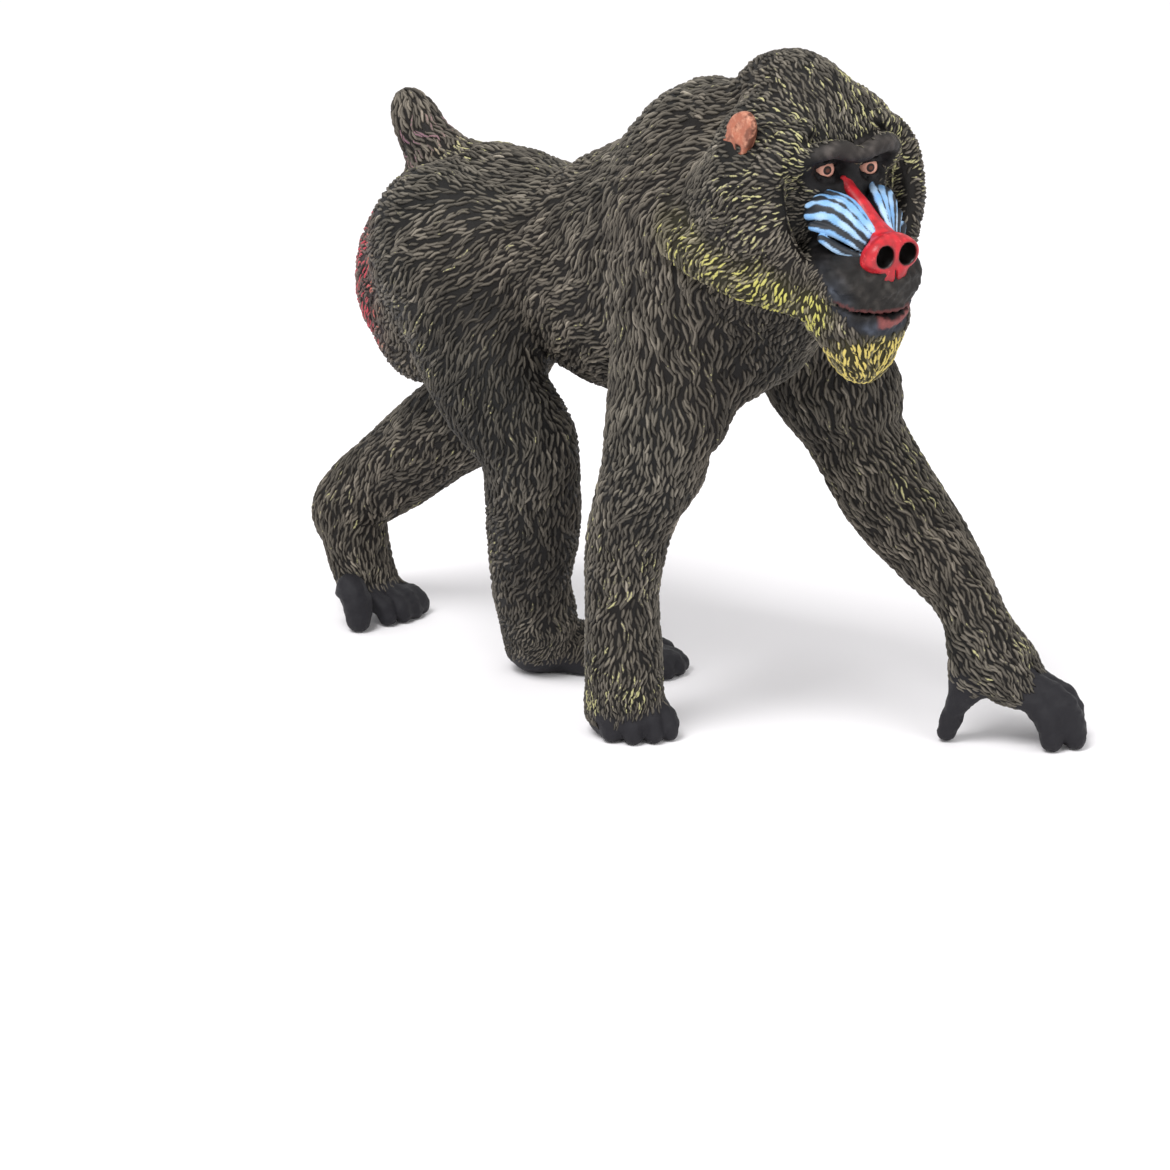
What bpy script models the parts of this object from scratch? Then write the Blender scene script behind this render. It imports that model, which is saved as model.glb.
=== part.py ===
"""A walking mandrill figurine, moulded in soft plastic, about 110 mm long.

The figurine is modelled whole and then parted with thin cuts.  Its flesh is made of lofts, which
carry an oval section along the spine, tail, limbs and digits, and of balls for the rounder masses.
Remesh joins them, Smooth rounds the joins, and Decimate leaves a light mesh.  Eyes, ears, nose and
the ribbed cheeks are pieces of their own, set in pockets of the head.

Lengths below are in millimetres, +X forward, +Y to the animal's left, +Z up, floor at z = 0.
"""
import math

import bpy
import bmesh
from mathutils import Matrix, Vector

MM = 0.001
GAP = 0.3
FLOOR_SINK = 6.0
VOXEL = 0.5
SMOOTH_STEPS = 5
FLESH_TRIANGLES = 5900
RING_SIDES = 18
SPAN_RINGS = 5
FINE_SIDES = 8
FINE_SPANS = 2
BALL_DETAIL = 24
NOSE_DETAIL = 18
SOCKET_DETAIL = 15
SMALL_BALL_DETAIL = 12
# How far along the closing half ball, as a share of its radius, each ring of a loft's cap lies.
CAP_STEPS = (0.38, 0.72, 0.95)
# Corners nearer than this are merged at the end, and edges shorter than half of it dissolved.
MERGE_DISTANCE = 0.02
# A closed surface of fewer faces than this is a scrap left by a cut.
SCRAP_FACES = 40

# The head turns to the animal's right and has its own axes: forward, left and up, from mid-eyes.
HEAD_ORIGIN = Vector((31.9, -6.5, 74.6))
HEAD_TURN = math.radians(-14.0)
HEAD_FORWARD = Vector((math.cos(HEAD_TURN), math.sin(HEAD_TURN), 0.0))
HEAD_LEFT = Vector((-math.sin(HEAD_TURN), math.cos(HEAD_TURN), 0.0))
HEAD_UP = Vector((0.0, 0.0, 1.0))
WORLD_AXES = (Vector((1, 0, 0)), Vector((0, 1, 0)), Vector((0, 0, 1)))
HEAD_AXES = (HEAD_FORWARD, HEAD_LEFT, HEAD_UP)

# Middles of the eyes and ears along the head's axes; the two sides were not modelled alike.
EYES = {"right": (-1.6, -2.6, 0.1), "left": (-1.6, 3.6, -0.35)}
EARS = {"right": (-6.4, -10.8, 4.1), "left": (-11.0, 12.6, -0.8)}
EYE_RADIUS = 1.25
NOSE_TILT = 18.0
EAR_TILT = 38.0

# Sections along the body: x, y, z of the centre, then half width and half height.
TRUNK = [
    (-44.4, 0.0, 48.5, 7.2, 8.7),
    (-40.6, 0.0, 48.2, 9.8, 11.7),
    (-35.7, 0.0, 50.6, 11.7, 13.9),
    (-29.0, 0.0, 53.0, 11.7, 14.5),
    (-17.1, 0.0, 54.3, 11.4, 11.8),
    (-6.7, 0.0, 55.1, 12.3, 15.3),
    (3.2, 0.0, 60.1, 13.3, 15.5),
    (9.0, -0.8, 62.3, 12.6, 18.9),
    (15.4, -1.6, 63.4, 10.3, 14.9),
]
TAIL = [
    (-39.0, 0.0, 63.2, 3.6, 5.2),
    (-41.4, 0.0, 65.8, 3.0, 3.7),
    (-43.8, 0.0, 68.8, 2.8, 3.0),
    (-44.7, 0.0, 70.3, 2.1, 2.3),
]
ARM_RIGHT = [
    (9.1, -9.1, 61.9, 6.0, 9.0),
    (8.0, -10.0, 44.1, 6.2, 8.4),
    (8.2, -12.5, 40.4, 5.8, 6.8),
    (7.6, -12.6, 36.1, 6.0, 6.3),
    (5.8, -13.2, 31.7, 5.2, 5.3),
    (3.4, -12.9, 25.1, 4.7, 5.0),
    (2.4, -12.5, 18.3, 4.3, 4.5),
    (2.1, -11.9, 12.5, 4.6, 4.6),
    (1.8, -11.4, 7.2, 4.7, 4.8),
    (1.4, -11.0, 3.9, 4.4, 4.5),
]
ARM_LEFT = [
    (9.0, 9.0, 60.0, 6.5, 9.0),
    (12.1, 11.8, 46.1, 7.0, 8.0),
    (15.2, 13.1, 41.1, 7.1, 7.7),
    (16.8, 13.7, 36.5, 5.8, 6.0),
    (21.5, 14.9, 29.2, 5.8, 6.0),
    (26.8, 16.2, 23.4, 5.2, 5.1),
    (31.6, 16.4, 18.9, 4.1, 4.0),
    (34.9, 16.7, 14.0, 3.9, 3.7),
    (37.6, 18.5, 9.2, 4.9, 3.4),
    (39.3, 19.8, 7.4, 4.2, 2.3),
]
LEG_RIGHT = [
    (-32.0, -6.5, 56.0, 7.5, 10.0),
    (-25.2, -8.5, 44.8, 7.2, 9.0),
    (-20.5, -10.2, 38.8, 6.5, 7.1),
    (-16.4, -9.4, 34.1, 6.1, 6.3),
    (-16.8, -7.8, 29.5, 5.8, 6.0),
    (-18.6, -5.6, 21.5, 5.6, 6.0),
    (-20.9, -3.6, 13.6, 4.8, 5.1),
    (-21.7, -1.4, 7.8, 4.8, 5.1),
    (-23.2, -0.1, 3.9, 4.1, 4.2),
]
LEG_LEFT = [
    (-33.0, 7.0, 56.0, 7.0, 9.5),
    (-33.9, 7.7, 46.2, 6.8, 8.7),
    (-37.0, 6.9, 37.2, 6.3, 7.3),
    (-39.5, 7.1, 30.9, 6.0, 7.0),
    (-45.6, 5.6, 25.9, 5.8, 6.2),
    (-52.1, 4.6, 20.5, 5.2, 5.7),
    (-59.4, 2.9, 14.4, 4.6, 4.7),
    (-58.5, 2.9, 10.9, 4.5, 4.1),
    (-57.1, 2.7, 6.9, 4.6, 3.5),
    (-55.2, 2.4, 3.9, 4.8, 2.7),
]
SOLE_RIGHT = [
    (-24.1, 2.0, 3.0, 3.4, 3.6),
    (-18.6, 3.8, 3.0, 3.6, 3.7),
    (-14.0, 7.0, 2.4, 4.0, 2.7),
    (-11.8, 8.2, 1.9, 4.1, 2.2),
]
PALM_RIGHT = [
    (0.5, -10.9, 3.3, 4.2, 4.1),
    (2.1, -10.2, 3.5, 4.2, 3.9),
]

# Digits: the tip on the floor, the way the digit points, its length, knuckle height and radius.
TOES_RIGHT = [
    ((-9.4, 6.2), 22.0, 4.6, 2.4, 1.40),
    ((-8.5, 8.3), 22.0, 4.8, 2.4, 1.40),
    ((-8.5, 10.4), 22.0, 4.8, 2.3, 1.40),
    ((-9.4, 12.2), 22.0, 4.4, 2.2, 1.35),
    ((-13.4, 14.0), 46.0, 5.4, 2.2, 1.55),
]
TOES_LEFT = [
    ((-51.5, -3.6), -12.0, 2.0, 5.4, 1.90),
    ((-50.3, 0.6), 0.0, 4.4, 3.4, 1.45),
    ((-49.7, 2.9), 4.0, 4.6, 3.3, 1.45),
    ((-49.8, 5.1), 8.0, 4.6, 3.2, 1.45),
    ((-50.5, 7.1), 14.0, 4.4, 3.0, 1.40),
]
FINGERS_RIGHT = [
    ((2.2, -14.2), -24.0, 3.4, 4.2, 1.50),
    ((4.8, -13.1), -20.0, 3.6, 4.3, 1.50),
    ((6.4, -11.1), -12.0, 3.6, 4.4, 1.45),
    ((7.0, -9.0), -4.0, 3.6, 4.0, 1.45),
]
FINGERS_LEFT = [
    ((44.2, 19.0), 14.0, 5.8, 7.4, 1.65),
    ((45.8, 21.6), 22.0, 6.4, 8.0, 1.65),
    ((44.1, 24.2), 28.0, 6.2, 7.8, 1.60),
    ((41.3, 26.7), 36.0, 5.6, 6.8, 1.50),
]
# A digit's tip stands this share of its radius above the floor, so that it rests on a small flat.
TIP_HEIGHT = 0.78
# Where a digit bends, as shares of its length back from the tip and of its knuckle's rise.
DIGIT_BEND = (0.22, 0.60)
DIGIT_TAPER = (1.12, 1.08, 0.92)
THUMB_LEFT = [
    (34.7, 14.8, 13.0, 2.8, 2.7),
    (35.1, 14.1, 8.5, 2.5, 2.6),
    (34.0, 13.5, 5.3, 1.8, 1.6),
    (32.3, 13.6, 1.2, 1.5, 1.3),
]

# Round masses of the trunk: centre, then half lengths along x, y and z.
MASSES = [
    ((-32.5, 6.6, 55.1), (10.5, 7.0, 10.1)),
    ((-32.5, -7.0, 54.7), (10.6, 7.6, 10.8)),
    ((-39.9, -0.8, 41.9), (6.4, 7.6, 6.6)),
    ((13.3, -5.5, 50.0), (5.4, 5.7, 7.0)),
    ((11.3, -1.8, 64.2), (15.8, 14.4, 13.9)),
    ((12.0, -3.0, 77.6), (5.5, 6.0, 3.5)),
]

# Head forms, in head axes. Those listed with a side are mirrored to the other side.
SKULL = ((-8.2, 0.0, -1.6), (8.7, 13.0, 11.1))
CREST = ((-12.0, 0.0, 6.7), (8.9, 4.8, 5.2))
FACE = ((-4.6, 0.0, -4.5), (4.6, 7.2, 8.5))
SNOUT = ((2.2, 0.0, -11.9), (7.2, 7.2, 4.6))
JAW = ((1.6, 0.0, -16.7), (6.2, 6.2, 4.1))
CHEEK = ((-8.6, 9.0, -5.1), (8.7, 5.2, 7.1))
SOCKET_DEPTH = 1.4
SOCKET_RADII = (1.8, 2.0, 1.25)
NOSE = ((7.4, 0.0, -8.7), (1.7, 3.7, 2.9))
NOSTRIL = ((9.4, 1.55, -8.6), (1.6, 0.98, 1.05))
EAR_RADII = (2.2, 1.1, 3.4)
# The ear's bowl, from the ear's middle along its own axes: forward, out and up.
EAR_BOWL = ((0.0, 1.25, 0.0), (1.5, 0.85, 2.5))
BROW = [
    (-1.6, -6.8, 0.6, 1.2, 1.2),
    (0.0, -5.8, 2.1, 1.3, 1.2),
    (1.4, -4.0, 2.9, 1.4, 1.2),
    (1.9, -2.0, 2.7, 1.3, 1.2),
    (1.7, 0.0, 2.0, 1.3, 1.1),
    (1.9, 2.0, 2.7, 1.3, 1.2),
    (1.4, 4.0, 2.9, 1.4, 1.2),
    (0.0, 5.8, 2.1, 1.3, 1.2),
    (-1.6, 6.8, 0.6, 1.2, 1.2),
]
BRIDGE = [
    (-1.3, 0.0, -3.2, 2.2, 2.2),
    (1.8, 0.0, -5.5, 2.3, 2.4),
    (4.6, 0.0, -8.0, 2.5, 2.5),
]
RUFF = [
    (1.2, 5.2, -14.6, 2.2, 2.4),
    (-1.6, 7.0, -13.6, 2.5, 2.7),
    (-6.0, 9.3, -12.3, 2.8, 3.0),
    (-11.0, 11.5, -10.8, 2.8, 3.0),
    (-15.2, 12.9, -9.0, 1.8, 2.0),
]
BEARD = [
    (2.4, 0.0, -16.6, 5.2, 4.6),
    (2.8, 0.0, -19.4, 4.9, 3.7),
    (3.1, 0.0, -22.0, 3.4, 2.5),
    (3.1, 0.0, -23.5, 1.2, 1.0),
]
# The raised ring of longer fur about the face, the hollow inside it, the lip of the ruff, and the
# hollow under that lip.
RING = [
    (-1.6, 5.4, 5.0, 1.2, 1.3),
    (-2.4, 8.4, 2.8, 1.6, 1.8),
    (-2.7, 10.1, -0.6, 1.9, 2.1),
    (-2.6, 10.2, -4.4, 2.0, 2.2),
    (-1.6, 9.0, -8.2, 2.0, 2.2),
    (0.4, 7.2, -11.4, 1.6, 1.8),
]
RING_HOLLOW = [
    (-1.6, 7.2, 1.4, 0.9, 0.9),
    (-1.0, 7.2, -1.6, 1.1, 1.1),
    (-0.8, 7.1, -5.2, 1.2, 1.2),
    (0.6, 6.3, -8.8, 1.0, 1.0),
]
RUFF_LIP = [
    (1.4, 5.2, -15.6, 0.9, 0.9),
    (-3.3, 8.4, -15.0, 1.1, 1.0),
    (-7.9, 11.0, -13.9, 1.2, 1.1),
    (-12.6, 12.8, -12.4, 1.2, 1.1),
    (-15.6, 13.6, -10.6, 1.0, 1.0),
    (-16.4, 13.6, -8.8, 0.7, 0.8),
]
RUFF_HOLLOW = [
    (-3.3, 7.6, -17.2, 1.1, 1.1),
    (-7.9, 10.2, -16.2, 1.3, 1.2),
    (-12.6, 12.2, -14.7, 1.3, 1.2),
]
CHEEK_PAD = [
    (0.2, 4.0, -4.6, 2.1, 2.3),
    (2.4, 2.9, -5.7, 1.8, 2.2),
    (5.2, 1.6, -7.4, 1.0, 1.2),
]
# The ribs fan out over the cheek. Each stands on three arcs across it, by the eye, at mid length and
# by the nose, given by their top, middle and bottom points, with the radius of a rib there.
CHEEK_ARCS = [
    ((-0.2, 3.3, -2.4), (0.0, 5.9, -4.2), (2.5, 5.8, -6.9), 0.52),
    ((2.9, 1.9, -3.3), (2.6, 3.9, -4.4), (3.9, 4.3, -8.1), 0.62),
    ((6.3, 1.1, -6.1), (5.9, 1.9, -7.0), (5.9, 2.8, -8.8), 0.38),
]
CHEEK_RIBS = 6
MOUTH = ((7.4, 0.0, -15.5), (3.8, 5.6, 0.5))
MOUTH_TILT = 28.0
CREST_TILT = 12.0

# Colours of the pieces, linear, and their roughness.
COAT = ((0.030, 0.027, 0.020), 0.62)
DARK_SKIN = ((0.012, 0.012, 0.014), 0.50)
RED = ((0.58, 0.012, 0.018), 0.35)
BLUE = ((0.30, 0.50, 0.78), 0.45)
YELLOW = ((0.55, 0.42, 0.12), 0.60)
EAR_BROWN = ((0.36, 0.13, 0.08), 0.55)
EYE_TAN = ((0.60, 0.30, 0.18), 0.30)


def clear_scene():
    for item in list(bpy.data.objects):
        bpy.data.objects.remove(item, do_unlink=True)


def new_collection(name):
    group = bpy.data.collections.new(name)
    bpy.context.scene.collection.children.link(group)
    return group


def paint(name, look):
    colour, roughness = look
    material = bpy.data.materials.new(name)
    material.use_nodes = True
    shader = material.node_tree.nodes["Principled BSDF"]
    shader.inputs["Base Color"].default_value = (*colour, 1.0)
    shader.inputs["Roughness"].default_value = roughness
    shader.inputs["Metallic"].default_value = 0.0
    return material


def head_point(place):
    """A point given in head axes, in the figurine's axes."""
    return HEAD_ORIGIN + HEAD_FORWARD * place[0] + HEAD_LEFT * place[1] + HEAD_UP * place[2]


def on_side(rows, side):
    """Rows of the left side of the head, mirrored where side is -1."""
    return [(row[0], side * row[1], *row[2:]) for row in rows]


def head_rows(rows):
    return [(*head_point(row[:3]), *row[3:]) for row in rows]


def nodded(axes, degrees):
    """Axes turned nose down about their own left axis."""
    turn = Matrix.Rotation(math.radians(degrees), 3, axes[1])
    return tuple(turn @ axis for axis in axes)


def curve_through(rows, span_rings):
    """Catmull-Rom rows between the given ones, so that a few sections make a smooth limb."""
    ends = [2 * Vector(rows[0]) - Vector(rows[1])]
    ends += [Vector(row) for row in rows]
    ends.append(2 * Vector(rows[-1]) - Vector(rows[-2]))
    smooth = []
    for a, b, c, d in zip(ends, ends[1:], ends[2:], ends[3:]):
        for step in range(span_rings):
            t = step / span_rings
            square = 2 * a - 5 * b + 4 * c - d
            cube = 3 * b - a - 3 * c + d
            smooth.append(0.5 * (2 * b + (c - a) * t + square * t * t + cube * t ** 3))
    smooth.append(Vector(rows[-1]))
    return smooth


def add_loft(mesh, rows, side=WORLD_AXES[1], grow=0.0, sides=RING_SIDES, spans=SPAN_RINGS):
    """An oval section carried along the rows, with a rounded cap on each end."""
    path = curve_through(rows, spans)
    rings = []
    for index, row in enumerate(path):
        before = path[max(index - 1, 0)]
        after = path[min(index + 1, len(path) - 1)]
        along = Vector(after[:3]) - Vector(before[:3])
        along.normalize()
        across = (side - along * side.dot(along)).normalized()
        size = (row[3] + grow, row[4] + grow)
        rings.append((Vector(row[:3]), along, across, along.cross(across), *size))
    capped = [cap_ring(rings[0], -fraction) for fraction in reversed(CAP_STEPS)]
    capped += rings
    capped += [cap_ring(rings[-1], fraction) for fraction in CAP_STEPS]
    loops = []
    for centre, along, across, upward, width, height in capped:
        loop = []
        for corner in range(sides):
            angle = 2 * math.pi * corner / sides
            reach = across * (width * math.cos(angle)) + upward * (height * math.sin(angle))
            loop.append(mesh.verts.new((centre + reach) * MM))
        loops.append(loop)
    for low, high in zip(loops, loops[1:]):
        for corner in range(sides):
            nxt = (corner + 1) % sides
            mesh.faces.new((low[corner], low[nxt], high[nxt], high[corner]))
    mesh.faces.new(list(reversed(loops[0])))
    mesh.faces.new(loops[-1])


def cap_ring(ring, fraction):
    """A smaller ring beyond an end ring, on the half ball that closes it."""
    centre, along, across, upward, width, height = ring
    depth = min(width, height)
    shrink = math.sqrt(1 - fraction * fraction)
    return centre + along * depth * fraction, along, across, upward, width * shrink, height * shrink


def add_ball(mesh, centre, radii, axes=WORLD_AXES, grow=0.0, detail=BALL_DETAIL):
    sizes = [(radius + grow) * MM for radius in radii]
    frame = Matrix([axis * size for axis, size in zip(axes, sizes)]).transposed().to_4x4()
    place = Matrix.Translation(Vector(centre) * MM) @ frame
    bmesh.ops.create_uvsphere(mesh, u_segments=detail, v_segments=detail * 2 // 3, radius=1.0, matrix=place)


def add_slab(mesh, centre, normal, half_width, half_height, thickness=GAP):
    """A thin box across a limb, whose thickness lies along the normal."""
    normal = Vector(normal).normalized()
    lean = WORLD_AXES[1] if abs(normal.x) > 0.7 else WORLD_AXES[0]
    across = (lean - normal * lean.dot(normal)).normalized()
    upward = normal.cross(across)
    sizes = (half_width * 2 * MM, half_height * 2 * MM, thickness * MM)
    columns = [axis * size for axis, size in zip((across, upward, normal), sizes)]
    place = Matrix.Translation(Vector(centre) * MM) @ Matrix(columns).transposed().to_4x4()
    bmesh.ops.create_cube(mesh, size=1.0, matrix=place)


def add_digit(mesh, tip, heading, length, knuckle_height, radius):
    """A bent finger or toe: back from its knuckle, over, and down to its tip on the floor."""
    way = Vector((math.cos(math.radians(heading)), math.sin(math.radians(heading)), 0.0))
    point = Vector((tip[0], tip[1], radius * TIP_HEIGHT))
    rise = knuckle_height - point.z
    knuckle = point - way * length + WORLD_AXES[2] * rise
    bend = point - way * (DIGIT_BEND[0] * length) + WORLD_AXES[2] * (DIGIT_BEND[1] * rise)
    sizes = [radius * share for share in DIGIT_TAPER]
    add_loft(mesh, [(*place, size, size) for place, size in zip((knuckle, bend, point), sizes)])


def solid(name, build, group, look=None):
    """A mesh object from a function that fills a bmesh."""
    mesh = bmesh.new()
    build(mesh)
    bmesh.ops.recalc_face_normals(mesh, faces=mesh.faces)
    data = bpy.data.meshes.new(name)
    mesh.to_mesh(data)
    mesh.free()
    if look:
        data.materials.append(paint(name, look))
    made = bpy.data.objects.new(name, data)
    group.objects.link(made)
    return made


def as_cutter(item):
    item.hide_render = True
    item.display_type = "WIRE"
    return item


def settle(item):
    """Apply an object's modifiers."""
    depsgraph = bpy.context.evaluated_depsgraph_get()
    data = bpy.data.meshes.new_from_object(item.evaluated_get(depsgraph))
    item.modifiers.clear()
    item.data = data
    return item


def cut(item, cutter):
    """Take the cutter's shape out of the item."""
    boolean = item.modifiers.new("cut", "BOOLEAN")
    boolean.operation = "DIFFERENCE"
    boolean.solver = "EXACT"
    boolean.use_self = True
    boolean.object = cutter
    return settle(item)


def keep_largest(mesh):
    """Drop all but the largest closed surface of a bmesh."""
    groups = islands(mesh)
    groups.sort(key=len)
    for group in groups[:-1]:
        bmesh.ops.delete(mesh, geom=group, context="FACES")


def islands(mesh):
    """Lists of the faces that hang together; an edge where two surfaces touch doesn't join them."""
    waiting = set(mesh.faces)
    groups = []
    while waiting:
        stack = [waiting.pop()]
        group = []
        while stack:
            face = stack.pop()
            group.append(face)
            for edge in (edge for edge in face.edges if len(edge.link_faces) == 2):
                for other in edge.link_faces:
                    if other in waiting:
                        waiting.discard(other)
                        stack.append(other)
        groups.append(group)
    return groups


def build_flesh(mesh):
    """All the soft forms, as closed shells that overlap and are joined by Remesh."""
    for rows in (TRUNK, TAIL, ARM_RIGHT, ARM_LEFT, LEG_RIGHT, LEG_LEFT, SOLE_RIGHT, PALM_RIGHT, THUMB_LEFT):
        add_loft(mesh, rows)
    for digits in (TOES_RIGHT, TOES_LEFT, FINGERS_RIGHT, FINGERS_LEFT):
        for digit in digits:
            add_digit(mesh, *digit)
    for centre, radii in MASSES:
        add_ball(mesh, centre, radii)
    for centre, radii in (SKULL, FACE, SNOUT, JAW):
        add_ball(mesh, head_point(centre), radii, HEAD_AXES)
    add_ball(mesh, head_point(CREST[0]), CREST[1], nodded(HEAD_AXES, -CREST_TILT))
    for side in (1, -1):
        cheek_bone = head_point((CHEEK[0][0], side * CHEEK[0][1], CHEEK[0][2]))
        add_ball(mesh, cheek_bone, CHEEK[1], HEAD_AXES)
        add_loft(mesh, head_rows(on_side(RUFF, side)), side=HEAD_FORWARD)
        for rows in (RING, RUFF_LIP):
            add_loft(mesh, head_rows(on_side(rows, side)), side=HEAD_LEFT)
    add_loft(mesh, head_rows(BROW), side=HEAD_FORWARD)
    add_loft(mesh, head_rows(BRIDGE), side=HEAD_LEFT)
    add_loft(mesh, head_rows(BEARD), side=HEAD_LEFT)


def fuse(item):
    """Remesh, smooth and thin out a heap of overlapping shells."""
    remesh = item.modifiers.new("join", "REMESH")
    remesh.mode = "VOXEL"
    remesh.voxel_size = VOXEL * MM
    smooth = item.modifiers.new("round", "SMOOTH")
    smooth.factor = 0.5
    smooth.iterations = SMOOTH_STEPS
    settle(item)
    faces = sum(len(face.vertices) - 2 for face in item.data.polygons)
    thin = item.modifiers.new("thin", "DECIMATE")
    thin.ratio = min(1.0, FLESH_TRIANGLES / faces)
    return settle(item)


def cheek_rib(index, side):
    """One raised rib along the cheek, from beside the eye to the nose."""
    share = index / (CHEEK_RIBS - 1)
    shares = ((1 - share) * (1 - 2 * share), 4 * share * (1 - share), share * (2 * share - 1))
    rows = []
    for *places, radius in CHEEK_ARCS:
        x, y, z = sum((Vector(place) * part for place, part in zip(places, shares)), Vector())
        rows.append((x, side * y, z, radius, radius))
    return rows


def cheek(mesh, side, grow):
    add_loft(mesh, head_rows(on_side(CHEEK_PAD, side)), HEAD_LEFT, grow, FINE_SIDES + 2, FINE_SPANS)


def nose(mesh, grow):
    add_ball(mesh, head_point(NOSE[0]), NOSE[1], nodded(HEAD_AXES, NOSE_TILT), grow, NOSE_DETAIL)


def eye(mesh, label, grow):
    add_ball(mesh, head_point(EYES[label]), (EYE_RADIUS,) * 3, HEAD_AXES, grow, SMALL_BALL_DETAIL)


def ear(mesh, label, grow):
    add_ball(mesh, head_point(EARS[label]), EAR_RADII, nodded(HEAD_AXES, EAR_TILT), grow, SOCKET_DETAIL)


def nostrils(mesh):
    for side in (1, -1):
        centre = (NOSTRIL[0][0], side * NOSTRIL[0][1], NOSTRIL[0][2])
        axes = nodded(HEAD_AXES, NOSE_TILT)
        add_ball(mesh, head_point(centre), NOSTRIL[1], axes, detail=SMALL_BALL_DETAIL)


def ear_bowl(mesh, label):
    (forward, out, up), radii = EAR_BOWL
    axes = nodded(HEAD_AXES, EAR_TILT)
    out = math.copysign(out, EARS[label][1])
    centre = head_point(EARS[label]) + axes[0] * forward + axes[1] * out + axes[2] * up
    add_ball(mesh, centre, radii, axes, detail=SMALL_BALL_DETAIL)


def pockets(mesh):
    """The room that the head leaves for eyes, ears, nose and cheeks, and the mouth and hollows."""
    for label, (forward, left, up) in EYES.items():
        centre = (forward + SOCKET_DEPTH, left, up)
        add_ball(mesh, head_point(centre), SOCKET_RADII, HEAD_AXES, detail=SOCKET_DETAIL)
        eye(mesh, label, GAP)
        ear(mesh, label, GAP)
    for side in (1, -1):
        cheek(mesh, side, GAP)
        for index in range(CHEEK_RIBS):
            add_loft(mesh, head_rows(cheek_rib(index, side)), HEAD_LEFT, GAP, FINE_SIDES, FINE_SPANS)
        for rows in (RING_HOLLOW, RUFF_HOLLOW):
            add_loft(mesh, head_rows(on_side(rows, side)), HEAD_LEFT, 0.0, FINE_SIDES, FINE_SPANS)
    nose(mesh, GAP)
    add_ball(mesh, head_point(MOUTH[0]), MOUTH[1], nodded(HEAD_AXES, MOUTH_TILT), detail=BALL_DETAIL)


# Where the body is parted: centre, normal, half width and half height of the cut.
CUTS = [
    ((-4.0, 0.0, 58.0), (1.0, 0.0, 0.0), 20.0, 20.0),
    ((6.0, -1.0, 66.0), (0.80, -0.05, 0.60), 26.0, 26.0),
    ((14.0, -2.0, 70.0), (0.93, -0.20, 0.30), 26.0, 26.0),
    ((8.0, -11.0, 47.0), (-0.25, 0.55, 0.80), 11.5, 9.5),
    ((12.0, 11.5, 47.0), (-0.16, -0.57, 0.81), 10.5, 9.5),
    ((6.8, -13.1, 34.6), (0.18, 0.02, 1.0), 9.0, 9.0),
    ((19.6, 14.7, 32.3), (-0.53, -0.10, 0.84), 9.0, 9.0),
    ((2.0, -11.9, 10.8), (0.05, -0.10, 1.0), 8.0, 8.0),
    ((31.8, 16.3, 18.2), (-0.62, -0.08, 0.78), 7.0, 7.0),
    ((-21.2, -8.8, 40.8), (-0.46, 0.46, 0.76), 11.0, 9.5),
    ((-33.9, 7.8, 42.0), (0.0, -0.67, 0.74), 12.5, 11.5),
    ((-16.7, -8.7, 32.4), (0.06, -0.20, 1.0), 10.0, 9.0),
    ((-37.5, 7.6, 34.0), (-0.20, -0.10, 0.98), 11.5, 8.5),
    ((-21.4, -2.4, 9.8), (0.10, -0.28, 1.0), 8.0, 7.5),
    ((-58.4, 3.3, 12.4), (0.12, 0.0, 1.0), 8.0, 7.5),
    ((-40.1, 0.0, 65.0), (-0.50, 0.0, 0.86), 7.0, 7.0),
]
BEARD_CUT = ((3.2, 0.0, -19.7), (8.0, 7.5))
FLOOR_MIDDLE = (-8.0, 5.0)
FLOOR_HALF_SIZE = (70.0, 40.0)

# A point near the middle of each fleshy piece, which tells the cut pieces apart.
FLESH = {
    "torso": ((-25.0, 0.0, 53.0), COAT),
    "shoulders": ((4.0, 0.0, 56.0), COAT),
    "neck": ((9.0, -2.0, 71.0), COAT),
    "head": ((27.0, -5.0, 70.0), COAT),
    "beard": ((35.2, -7.3, 52.6), YELLOW),
    "tail": ((-42.8, 0.0, 68.8), COAT),
    "upper_arm_right": ((7.8, -12.4, 42.5), COAT),
    "upper_arm_left": ((14.0, 12.8, 42.5), COAT),
    "forearm_right": ((4.0, -13.0, 22.5), COAT),
    "forearm_left": ((26.0, 15.6, 25.0), COAT),
    "hand_right": ((2.2, -11.2, 5.4), DARK_SKIN),
    "hand_left": ((38.5, 18.5, 9.0), DARK_SKIN),
    "thigh_right": ((-21.5, -10.0, 41.0), COAT),
    "thigh_left": ((-34.0, 9.0, 41.5), COAT),
    "shank_right": ((-18.8, -6.0, 21.0), COAT),
    "shank_left": ((-48.0, 5.5, 23.5), COAT),
    "foot_right": ((-17.5, 4.5, 4.6), DARK_SKIN),
    "foot_left": ((-55.5, 3.0, 6.4), DARK_SKIN),
}


def parting(mesh):
    """Every thin cut, and the floor that gives the soles their flats."""
    for centre, normal, half_width, half_height in CUTS:
        add_slab(mesh, centre, normal, half_width, half_height)
    add_slab(mesh, head_point(BEARD_CUT[0]), HEAD_UP, *BEARD_CUT[1])
    floor = Vector((FLOOR_MIDDLE[0], FLOOR_MIDDLE[1], -FLOOR_SINK / 2))
    add_slab(mesh, floor, WORLD_AXES[2], *FLOOR_HALF_SIZE, thickness=FLOOR_SINK)


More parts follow.
